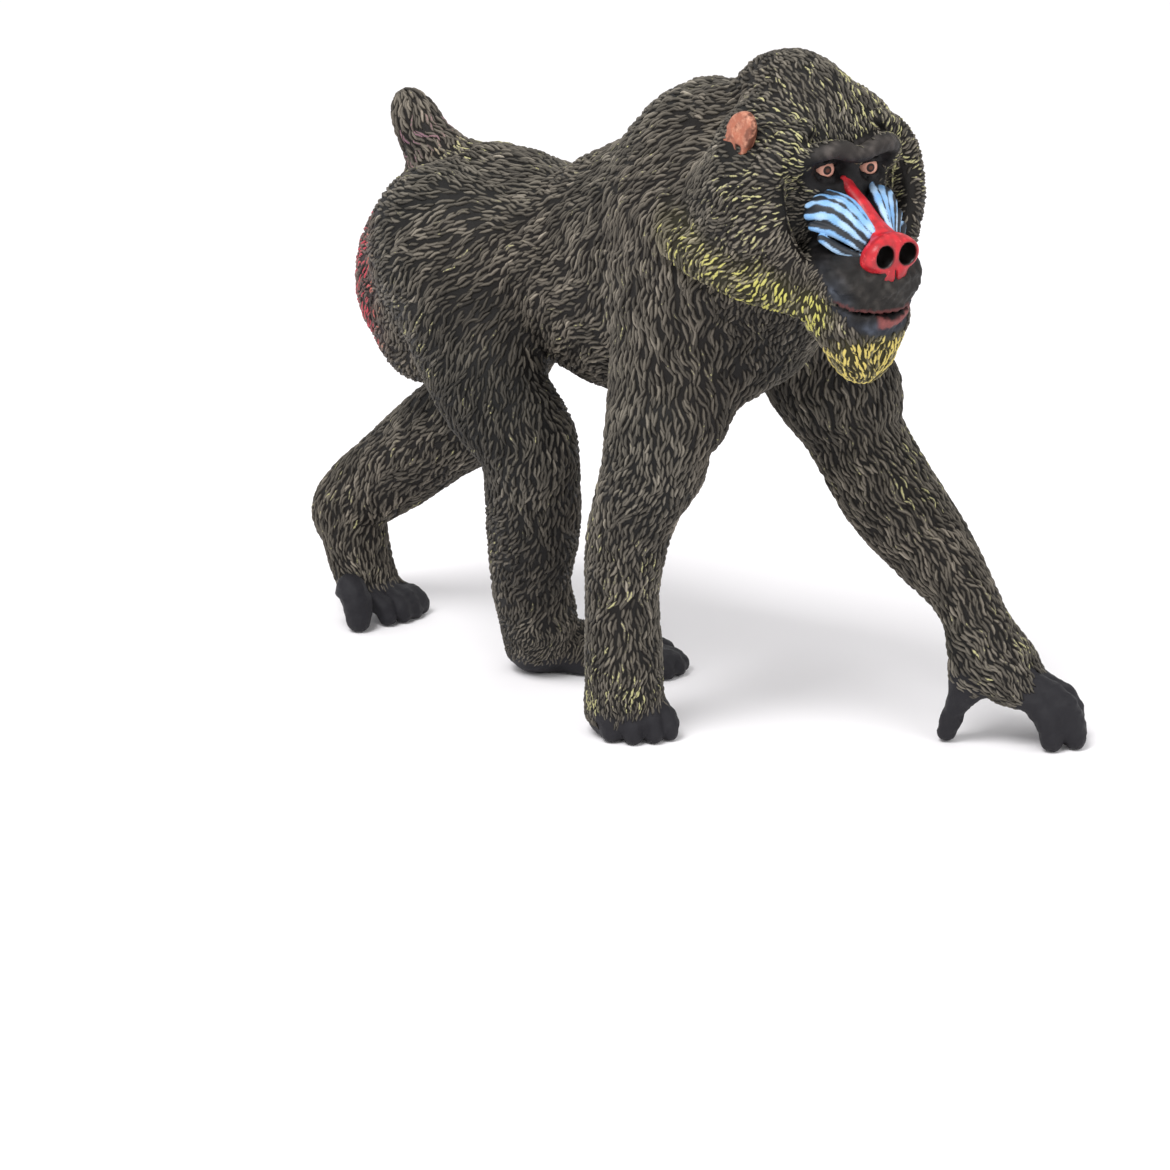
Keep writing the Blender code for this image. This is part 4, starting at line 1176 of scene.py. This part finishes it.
def turned(vectors, axes, angles):
    """Vectors turned about unit axes that are square to them."""
    return vectors * np.cos(angles)[:, None] + np.cross(axes, vectors) * np.sin(angles)[:, None]


def combed(points, normals):
    """The way of the strokes at each point: the lie along the skin, swung in patches to both sides."""
    way = lie(points)
    way = unit(way - normals * (way * normals).sum(1)[:, None])
    swing = sum(most * (patches(points, size, seed) - 0.5) for most, size, seed in COMB_SWING)
    return turned(way, normals, swing)


def crowding(points, ways, across, along):
    """Pairs of points of which one lies in the other's oval: across and along its way."""
    cell = along.max()
    key = np.floor(points / cell).astype(np.int64) + 400
    key = (key[:, 0] * 1000 + key[:, 1]) * 1000 + key[:, 2]
    order = np.argsort(key)
    keys, starts, counts = np.unique(key[order], return_index=True, return_counts=True)
    firsts = []
    seconds = []
    for dx, dy, dz in np.ndindex(3, 3, 3):
        step = ((dx - 1) * 1000 + dy - 1) * 1000 + dz - 1
        if step < 0:
            continue
        place = np.minimum(np.searchsorted(keys, keys + step), len(keys) - 1)
        one = np.flatnonzero(keys[place] == keys + step)
        two = place[one]
        many = counts[one] * counts[two]
        block = np.repeat(np.arange(len(one)), many)
        inner = np.arange(many.sum()) - np.repeat(np.cumsum(many) - many, many)
        first = order[starts[one][block] + inner // counts[two][block]]
        second = order[starts[two][block] + inner % counts[two][block]]
        if step == 0:
            keep = first < second
            first, second = first[keep], second[keep]
        gap = points[second] - points[first]
        run = (gap * ways[first]).sum(1)
        aside = np.maximum(np.square(gap).sum(1) - run ** 2, 0.0)
        keep = np.square(run / along[first]) + aside / np.square(across[first]) < 1.0
        firsts.append(first[keep])
        seconds.append(second[keep])
    return np.concatenate(firsts), np.concatenate(seconds)


def spread(points, ways, across, along, rng):
    """Indices of points thinned until none lies in the oval of another."""
    first, second = crowding(points, ways, across, along)
    here, there = np.concatenate((first, second)), np.concatenate((second, first))
    order = np.argsort(here)
    here, there = here[order], there[order]
    owners, starts = np.unique(here, return_index=True)
    rank = rng.permutation(len(points))
    waiting = np.ones(len(points), bool)
    taken = np.zeros(len(points), bool)
    while waiting.any():
        best = np.full(len(points), -1)
        best[owners] = np.maximum.reduceat(np.where(waiting, rank, -1)[there], starts)
        chosen = waiting & (rank > best)
        taken |= chosen
        waiting &= ~chosen
        waiting[there[chosen[here]]] = False
    return np.flatnonzero(taken)


def stroke_paths(field, roots, lengths, rng):
    """Places along each stroke, walked over the skin along the lie, with a slight wave."""
    swing = rng.normal(0, OWN_SWING, len(roots))
    phase = rng.uniform(0, 2 * math.pi, len(roots))
    places = [roots]
    normals = [field.normal(roots)]
    ways = []
    for step in range(RINGS + 1):
        here = places[-1]
        out = normals[-1]
        way = combed(here, out)
        way = turned(way, out, swing + WAVE * np.sin(2 * math.pi * step / RINGS + phase))
        ways.append(way)
        there = field.settle(here + way * lengths[:, None] / (RINGS + 1), SKIN_LEVEL, rounds=1)
        places.append(there)
        normals.append(field.normal(there))
    ways.append(ways[-1])
    return np.stack(places, 1), np.stack(normals, 1), np.stack(ways, 1)


def stroke_pattern():
    """The triangles of one stroke: a tip, its rings of corners, and a tip."""
    last = 1 + RINGS * SIDES
    faces = []
    for corner in range(SIDES):
        after = (corner + 1) % SIDES
        faces.append((0, 1 + corner, 1 + after))
        faces.append((last, last - SIDES + after, last - SIDES + corner))
        for ring in range(RINGS - 1):
            one = 1 + SIDES * ring
            faces.append((one + corner, one + SIDES + corner, one + SIDES + after))
            faces.append((one + corner, one + SIDES + after, one + after))
    return np.array(faces)


PATTERN = stroke_pattern()


def stroke_mesh(places, normals, ways, widths, heights):
    """Rounded spindles that stand out of the skin."""
    count = len(places)
    across = unit(np.cross(normals, ways))[:, 1:-1, None]
    up = normals[:, 1:-1, None]
    side = 0.5 * widths[:, None] * STROKE_TAPER
    rise = (heights + STROKE_ROOT)[:, None] * STROKE_RISE
    rings = places[:, 1:-1, None] + across * (side[:, :, None] * STROKE_ACROSS)[..., None]
    rings = rings + up * (rise[:, :, None] * STROKE_UP - STROKE_ROOT)[..., None]
    start = places[:, :1] - normals[:, :1] * 0.05
    stop = places[:, -1:] - normals[:, -1:] * 0.03
    points = np.concatenate((start, rings.reshape(count, RINGS * SIDES, 3), stop), axis=1)
    size = points.shape[1]
    faces = (PATTERN[None] + size * np.arange(count)[:, None, None]).reshape(-1, 3)
    return points.reshape(-1, 3), faces


def stroke_patches(unwrapped):
    """Bake places of the strokes' corners: each a small patch about its root's place."""
    along = np.concatenate(([0.0], np.repeat((np.arange(RINGS) + 1) / (RINGS + 1), SIDES), [1.0]))
    aside = np.concatenate(([0.5], np.tile(0.5 + 0.5 * STROKE_ACROSS, RINGS), [0.5]))
    patch = (np.stack((aside, along), axis=1) - 0.5) * PATCH
    return (unwrapped[:, None, None] + patch[PATTERN][None]).reshape(-1, 2)


def unwrap(points, middle, axis, low, high):
    """A cylinder unwrap of a stretch of the body: turn about its axis, and place along it."""
    local = points - middle
    other = [index for index in range(3) if index != axis]
    turn = np.arctan2(local[:, other[1]], local[:, other[0]]) / (2 * math.pi) + 0.5
    along = (points[:, axis] - low) / (high - low)
    return 0.02 + 0.96 * np.clip(np.stack((turn, along), axis=1), 0, 1)


def scattered(points, quads, count, rng):
    """Random places on the quads, evenly by area."""
    a, b, c, d = (points[quads[:, corner]] for corner in range(4))
    area = np.linalg.norm(np.cross(c - a, d - b), axis=1)
    pick = rng.choice(len(quads), count, p=area / area.sum())
    s, t = rng.random((2, count, 1))
    return (a[pick] * (1 - s) + b[pick] * s) * (1 - t) + (d[pick] * (1 - s) + c[pick] * s) * t


# The head's coat starts this far behind the eyes.
HEAD_PLANE = 13.0


def stretch_of(points):
    """Which stretch of coat each point is in: 0 head, 1 mane, 2 trunk, 3 arms, 4 legs."""
    local = in_head_axes(points)
    x, z = points[:, 0], points[:, 2]
    stretch = np.full(len(points), 2)
    stretch[(x > -4) & (z > 38)] = 1
    stretch[(x > -6) & (z <= 46) & ((z <= 38) | (np.abs(points[:, 1]) > 17.5))] = 3
    stretch[(x <= -6) & (z <= 44)] = 4
    stretch[(local[:, 0] > -HEAD_PLANE) & (z > 48) & (x > 10)] = 0
    return stretch


# Each stretch of coat: name, stroke length, width and height, and its unwrap.
STRETCHES = (
    ("head", 1.9, 0.42, 0.28, (24.0, -6.0, 68.0), 2, 48.0, 90.0),
    ("mane", 2.8, 0.48, 0.32, (6.0, 0.0, 60.0), 2, 38.0, 84.0),
    ("trunk", 2.6, 0.47, 0.30, (-25.0, 0.0, 54.0), 0, -50.0, 0.0),
    ("arms", 2.2, 0.44, 0.28, (12.0, 0.0, 25.0), 2, 0.0, 48.0),
    ("legs", 2.4, 0.45, 0.28, (-35.0, 0.0, 25.0), 2, 0.0, 48.0),
)
# The skin lies this far inside the solids' surface, which the strokes' crests then reach.
SKIN_LEVEL = -0.12
# Places tried for strokes, the lowest of them, and how much smaller strokes are on face and hands.
ROOT_COUNT = 330000
LOWEST_ROOT = 1.2
FINE_CUT = 0.40
# A stroke keeps others out of an oval of these shares of its own width and length.
KEEP_ACROSS = 0.84
KEEP_ALONG = 0.50


def fur_strokes(field, points, quads, material):
    """All coat pieces, right and left of each stretch."""
    rng = np.random.default_rng(7)
    roots = scattered(points, quads, ROOT_COUNT, rng)
    roots = roots[(rng.random(len(roots)) > bare_share(roots)) & (roots[:, 2] > LOWEST_ROOT)]
    roots = field.settle(roots, SKIN_LEVEL)
    stretch = stretch_of(roots)
    sizes = np.array([row[1:4] for row in STRETCHES])[stretch]
    small = 1.0 - FINE_CUT * np.maximum(hand_near(roots), face_near(roots))
    sizes = sizes * small[:, None]
    ways = combed(roots, field.normal(roots))
    kept = spread(roots, ways, KEEP_ACROSS * sizes[:, 1], KEEP_ALONG * sizes[:, 0], rng)
    roots, stretch, sizes = roots[kept], stretch[kept], sizes[kept]
    left = np.where(stretch == 0, in_head_axes(roots)[:, 1], roots[:, 1]) > 0
    # Painted light along each stroke: painted shade at its feet and ends, a painted highlight on its crest.
    # The dry brush also follows it.
    light = np.concatenate(([0.1], np.tile(STROKE_PAINTED_LIGHT, RINGS), [0.2]))[None, :, None]
    pieces = []
    for index, row in enumerate(STRETCHES):
        for side, label in ((False, "right"), (True, "left")):
            own = (stretch == index) & (left == side)
            here = roots[own]
            scales = rng.uniform(STROKE_LEAST, STROKE_MOST, (own.sum(), 3))
            length, width, height = (sizes[own] * scales).T
            mesh, faces = stroke_mesh(*stroke_paths(field, here, length, rng), width, height)
            ground, glaze, brush = coat_paint(here)
            crest = 0.5 * ground + 0.5 * COAT_CREST
            colour = ground[:, None] * GROOVE_SHADE * (1 - light) + crest[:, None] * light
            least, rise, size = TONE_DRIFT
            tone = np.exp(rng.normal(*TONE_LOG, len(here))) * (least + rise * patches(here, size, 51))
            # Painted shade: strokes are darker on thighs, belly, chest and the insides of the limbs.
            tone = tone * (1.0 - TONE_SHADE * painted_shade_share(here))
            colour = (colour * tone[:, None, None]).reshape(-1, 3)
            dab = brush * np.where(rng.random(len(here)) < DAB_SHARE, *DAB_CATCH)
            dab = np.clip(dab + rng.normal(0, DAB_SPREAD, len(here)), 0, 1)
            dab = (dab[:, None] * (0.15 + 0.85 * light[:, :, 0])).ravel()
            glazes = np.repeat(glaze, light.shape[1], axis=0)
            pieces.append(add_piece(f"coat_{row[0]}_{label}", mesh, faces, material, colour, glazes, dab,
                                    stroke_patches(unwrap(here, np.array(row[4]), *row[5:]))))
    return pieces


# Nose, cheeks, ears and eyes

# Grid steps of the surfaces of nose and cheeks, and of the ears.
FACE_STEP = 0.17
EAR_STEP = 0.15
# The eyes look this many degrees to the animal's right of where the head points.
GAZE = 12.0
# Degrees from the way the eye looks: the ends of iris and dark rim, and the rings of corners.
IRIS_ANGLE = 12.0
RIM_ANGLE = 25.0
EYE_RINGS = (0.01, 4, 8, 11, 12, 13, 16, 20, 24, 25, 34, 40, 50, 60, 75, 90, 120, 150, 179.9)
EYE_TURNS = 48


def nose_distance(points):
    """The snout disc and the stripe above it, with round nostrils, their rims and a septum groove."""
    axes = nodded(NOSE_TILT)
    points = points.astype(np.float32)
    made = head_ball(points, NOSE, axes=axes)
    made = joined(made, head_ball(points, NOSE_FOOT, axes=axes), 0.8)
    made = joined(made, head_loft(points, STRIPE), 0.5)
    for side in (1, -1):
        made = joined(made, head_ball(points, NOSTRIL_RIM, side, axes), 0.4)
        made = carved(made, head_ball(points, NOSTRIL, side, axes), 0.2)
    return carved(made, head_ball(points, SEPTUM, axes=axes), 0.2)


def nose_piece(material):
    """The red nose and stripe, with painted shade that darkens the red under the nostrils and blackens the
    nostrils deep inside.
    """
    low = head_point((3.0, 0.0, -14.0)) - (6.0, 6.0, 0.0)
    high = head_point((8.0, 0.0, 3.0)) + (6.0, 6.0, 0.0)
    points, quads = small_surface(nose_distance, low, high, FACE_STEP)
    local = in_head_axes(points)
    ground = plain(RED, points)
    # Painted shade: the red darkens under the nostrils.
    ground = mixed(ground, RED_DEEP, 0.8 * ease(-local[:, 2], 9.5, 11.5))
    ground = mixed(ground, RED_DEEP, 0.75 * patches(points * (1.0, 1.0, 0.5), 0.8, 71))
    brush = np.full(len(points), 0.34)
    for side in (1, -1):
        (forward, left, up), radii = NOSTRIL
        away = radii_away(points, head_point((forward, left * side, up)), radii, nodded(NOSE_TILT))
        hole = 1 - ease(away, 1.05, 1.2)
        # Painted shade: near black deep inside each nostril.
        deep = hole * ease(-local[:, 0], -9.6, -8.9)
        ground = mixed(ground, PUPIL * 0.3, deep)
        brush = brush * (1 - deep)
    return add_piece("nose_and_stripe", points, quads, material, ground, plain(RED_GLAZE, points), brush)


# Blue paint covers a rib's crest: how far the crest lies over the rib's middle, and the width of
# the paint as a share of the rib's.
CREST_LIFT = 0.60
CREST_WIDTH = 0.66


def cheek_rib_rows(index):
    """One rib along the cheek, from beside the eye to the nose, at even shares of the three arcs.

    An arc is the parabola through its top, middle and bottom points.
    """
    share = index / (CHEEK_RIBS - 1)
    shares = np.array(((1 - share) * (1 - 2 * share), 4 * share * (1 - share), share * (2 * share - 1)))
    return np.array([(*(shares @ np.array(places)), radius, radius) for *places, radius in CHEEK_ARCS])


def crest_rows(index):
    """The line of blue paint along a rib: the rib's own line, lifted away from the cheek's middle."""
    rows = cheek_rib_rows(index)
    rows[:, :3] += CREST_LIFT * unit(rows[:, :3] - np.array(CHEEK_PAD)[:, :3])
    rows[:, 3:] *= CREST_WIDTH
    return rows


def cheek_piece(side, label, material):
    """The swollen cheek with its ribs, pale blue on the ribs and dark in the grooves."""
    def distance(points):
        """The pad with the ribs on it."""
        points = points.astype(np.float32)
        made = head_loft(points, CHEEK_PAD, side)
        for index in range(CHEEK_RIBS):
            made = joined(made, head_loft(points, cheek_rib_rows(index), side), 0.15)
        return made

    middle = head_point((1.0, 4.4 * side, -6.0))
    points, quads = small_surface(distance, middle - 8.5, middle + 8.5, FACE_STEP, rounds=1)
    crests = np.full(len(points), FAR)
    for index in range(CHEEK_RIBS):
        crests = np.minimum(crests, head_loft(points.astype(np.float32), crest_rows(index), side))
    share = 1.0 - ease(crests + 0.14 * (patches(points, 1.6, 31) - 0.5), -0.05, 0.07)
    blue = mixed(plain(BLUE, points), BLUE_PALE, patches(points, 2.4, 33))
    ground = mixed(plain(GROOVE_DARK, points), blue, share)
    return add_piece("cheek_" + label, points, quads, material, ground, plain(BLUE_PALE, points),
                     0.14 * share)


def ear_piece(label, material):
    """A flat ear with a thin rim, an upper and a lower hollow and a pit before the lower one."""
    side = math.copysign(1.0, EARS[label][1])
    axes = nodded(EAR_TILT)
    centre = head_point(EARS[label])

    def placed(rows):
        """Rows given from the ear's middle along its own axes: forward, out and up."""
        rows = np.array(rows, float)
        rows[:, 1] *= side
        return np.hstack((centre + rows[:, :3] @ axes, rows[:, 3:]))

    rim = [(1.9 * math.cos(turn), 0.45, 3.05 * math.sin(turn), 0.30, 0.30)
           for turn in np.linspace(-2.4, 3.3, 12)]
    fold = ((-1.2, 0.5, 0.3, 0.35, 0.3), (0.2, 0.62, 0.0, 0.4, 0.35), (1.3, 0.5, 0.2, 0.3, 0.3))
    # Each hollow: its middle, its radius and its depth.
    hollows = placed((
        (0.0, 1.25, 1.45, 1.3, 0.55), (-0.1, 1.2, -1.45, 1.2, 0.5), (1.2, 0.75, -0.75, 0.4, 0.35)))

    def distance(points):
        """The shell with its hollows, its rim and its fold."""
        points = points.astype(np.float32)
        made = ball(points, centre, EAR_RADII, axes)
        for row in hollows:
            made = carved(made, ball(points, row[:3], (row[3], row[4], row[3]), axes), 0.25)
        made = joined(made, loft(points, placed(rim), axes[1], spans=3), 0.3)
        return joined(made, loft(points, placed(fold), axes[1]), 0.3)

    points, quads = small_surface(distance, centre - 4.8, centre + 4.8, EAR_STEP)
    out = ((points - centre) @ axes.T)[:, 1] * side
    deep = 1 - ease(out + 0.7 * (patches(points, 1.3, 41) - 0.5), 0.30, 0.75)
    ground = mixed(plain(EAR_TAN, points), EAR_DARK, 0.85 * deep)
    pit = blob(points, hollows[2, :3], (0.6, 0.6, 0.6), 0.3)
    ground = mixed(ground, PUPIL, 0.9 * pit)
    return add_piece("outer_ear_" + label, points, quads, material, ground, plain(EAR_GLAZE, points),
                     0.45 * (1 - pit))


def eye_piece(label, material):
    """A ball of rings about the way the eye looks: brown iris, its dark rim and the pinkish white.

    A corner lies at centre + radius (cos a, sin a cos b, sin a sin b) for its ring's angle a from the
    way the eye looks and its turn b about that way.
    """
    centre = head_point(EYES[label])
    gaze = math.radians(GAZE)
    forward, left, up = HEAD_AXES
    ahead = math.cos(gaze) * forward - math.sin(gaze) * left
    aside = math.sin(gaze) * forward + math.cos(gaze) * left
    axes = np.array((ahead, aside, up))
    polar = np.radians(np.array(EYE_RINGS))
    turns = np.linspace(0, 2 * math.pi, EYE_TURNS, endpoint=False)
    a, b = np.meshgrid(polar, turns, indexing="ij")
    shape = np.stack((np.cos(a), np.sin(a) * np.cos(b), np.sin(a) * np.sin(b)), axis=-1).reshape(-1, 3)
    points = centre + EYE_RADIUS * shape @ axes
    one = np.arange(EYE_TURNS)
    two = (one + 1) % EYE_TURNS
    starts = EYE_TURNS * np.arange(len(polar) - 1)[:, None]
    below = starts + EYE_TURNS
    quads = np.stack((starts + one, below + one, below + two, starts + two), axis=2)
    degrees = np.degrees(np.repeat(polar, EYE_TURNS))
    ground = plain(EYE_WHITE, points)
    for limit, colour in ((RIM_ANGLE, EYE_RIM), (IRIS_ANGLE, EYE_IRIS)):
        ground[degrees < limit] = colour
    return add_piece("eyeball_" + label, points, quads.reshape(-1, 4), material, ground, ground,
                     np.zeros(len(points)))


# The whole figurine

# The body's grid along x, y and z: its ends, then the finer stretches about face and digits with the
# step there.  The first measuring has rough steps, and the second reaches over a band.
BODY_GRID = (
    (-68.0, 52.0, ((24.0, 44.0, 0.30),)),
    (-26.0, 32.0, ((-16.0, 3.0, 0.30),)),
    (-1.0, 90.0, ((-1.0, 7.0, 0.45), (55.0, 79.5, 0.32))),
)
COARSE_STEP = 0.78
ROUGH_STEP = 1.5
BAND = 1.9
FLESH_NODES = (
    "torso", "shoulders", "neck", "head", "beard", "tail",
    "upper_arm_right", "upper_arm_left", "forearm_right", "forearm_left", "hand_right", "hand_left",
    "thigh_right", "thigh_left", "shank_right", "shank_left", "foot_right", "foot_left",
)


def build_figurine():
    """The skin, its strokes, and the nose, cheeks, ears and eyes."""
    # A dull coat whose dry-brushed crests look chalky.
    coat_finish = painted_pvc("dry-brushed acrylic on moulded PVC", 0.55, 0.6, 5 / 12, 0.22)
    # A thicker red coat that takes soft highlights.
    satin = painted_pvc("satin acrylic on moulded PVC", 0.38, 0.15, 5 / 6, 0.5)
    # Flat colour with hardly any shine.
    matt = painted_pvc("matt acrylic on moulded PVC", 0.52, 0.3, 2 / 3, 0.35)
    axes = [graded_axis(*row) for row in BODY_GRID]
    field = Field(body_distance, axes, ROUGH_STEP, BAND)
    points, quads = level_surface(field, SKIN_LEVEL)
    points = field.settle(relaxed(points, quads, 2), SKIN_LEVEL, rounds=1)
    points = points + field.normal(points) * skin_relief(points)[:, None]
    ground, glaze, brush = skin_paint(points)
    skin = add_piece("skin", points, quads, coat_finish, ground, glaze, brush)
    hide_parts(*FLESH_NODES)
    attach(skin, "root")
    for piece in fur_strokes(field, points, quads, coat_finish):
        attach(piece, "root")
    features = [(nose_piece(satin), "nose", "red_paint")]
    for side, label in ((1, "left"), (-1, "right")):
        features.append((cheek_piece(side, label, matt), "cheek_ridges_" + label, "blue_paint"))
        features.append((ear_piece(label, matt), "ear_" + label, "brown_paint"))
        features.append((eye_piece(label, matt), "eye_" + label, "eye_paint"))
    for piece, node, slot in features:
        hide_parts(node)
        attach(piece, "root")


# Camera, light and table

# The camera's place in millimetres, its heading and its nod in degrees, and its lens in millimetres.
CAMERA_PLACE = (380.22, -437.40, 198.29)
CAMERA_HEADING = 132.096
CAMERA_NOD = 17.435
LENS = 151.385
# Each softbox: its name, place and side in metres, and its watts. They are turned to LIT_POINT.
SOFTBOXES = (("key", (0.10, -0.50, 0.80), 0.4, 7.0), ("fill", (0.8, -0.1, 0.5), 0.5, 2.0))
LIT_POINT = (0.0, 0.0, 0.04)
WORLD_STRENGTH = 0.85


def add_camera():
    """From ahead and to the animal's right, looking down on it from 0.6 m away."""
    data = bpy.data.cameras.new("camera")
    data.lens = LENS
    data.sensor_width = 36.0
    data.clip_end = 20.0
    camera = bpy.data.objects.new("camera", data)
    camera.location = (np.array(CAMERA_PLACE) + SHIFT) * MM
    camera.rotation_euler = (math.radians(90 - CAMERA_NOD), 0.0, math.radians(CAMERA_HEADING - 90))
    bpy.context.scene.collection.objects.link(camera)
    bpy.context.scene.camera = camera


def add_softbox(name, place, size, power):
    """A square area light, turned to the lit point."""
    data = bpy.data.lights.new(name, "AREA")
    data.shape = "SQUARE"
    data.size = size
    data.energy = power
    lamp = bpy.data.objects.new(name, data)
    way = np.array(LIT_POINT) - place
    lamp.location = place
    lamp.rotation_euler = (math.atan2(math.hypot(way[0], way[1]), -way[2]), 0.0,
                           math.atan2(way[1], way[0]) - math.pi / 2)
    bpy.context.scene.collection.objects.link(lamp)


def add_table():
    """A flat white table, six metres square, with its top at the floor."""
    half = 3.0
    corners = [(-half, -half, 0), (half, -half, 0), (half, half, 0), (-half, half, 0)]
    mesh = bpy.data.meshes.new("table")
    mesh.from_pydata(corners, [], [(0, 1, 2, 3)])
    mesh.materials.append(table_surface("matt white paper sweep"))
    table = bpy.data.objects.new("table", mesh)
    bpy.context.scene.collection.objects.link(table)


def add_world(strength):
    """Even white light from all round, as in a light tent."""
    world = bpy.data.worlds.new("white studio")
    world.use_nodes = True
    background = world.node_tree.nodes["Background"]
    background.inputs["Color"].default_value = (1.0, 1.0, 1.0, 1.0)
    background.inputs["Strength"].default_value = strength
    bpy.context.scene.world = world


build_figurine()
add_camera()
add_table()
add_world(WORLD_STRENGTH)
for softbox in SOFTBOXES:
    add_softbox(*softbox)
bpy.context.scene.view_settings.view_transform = "Standard"
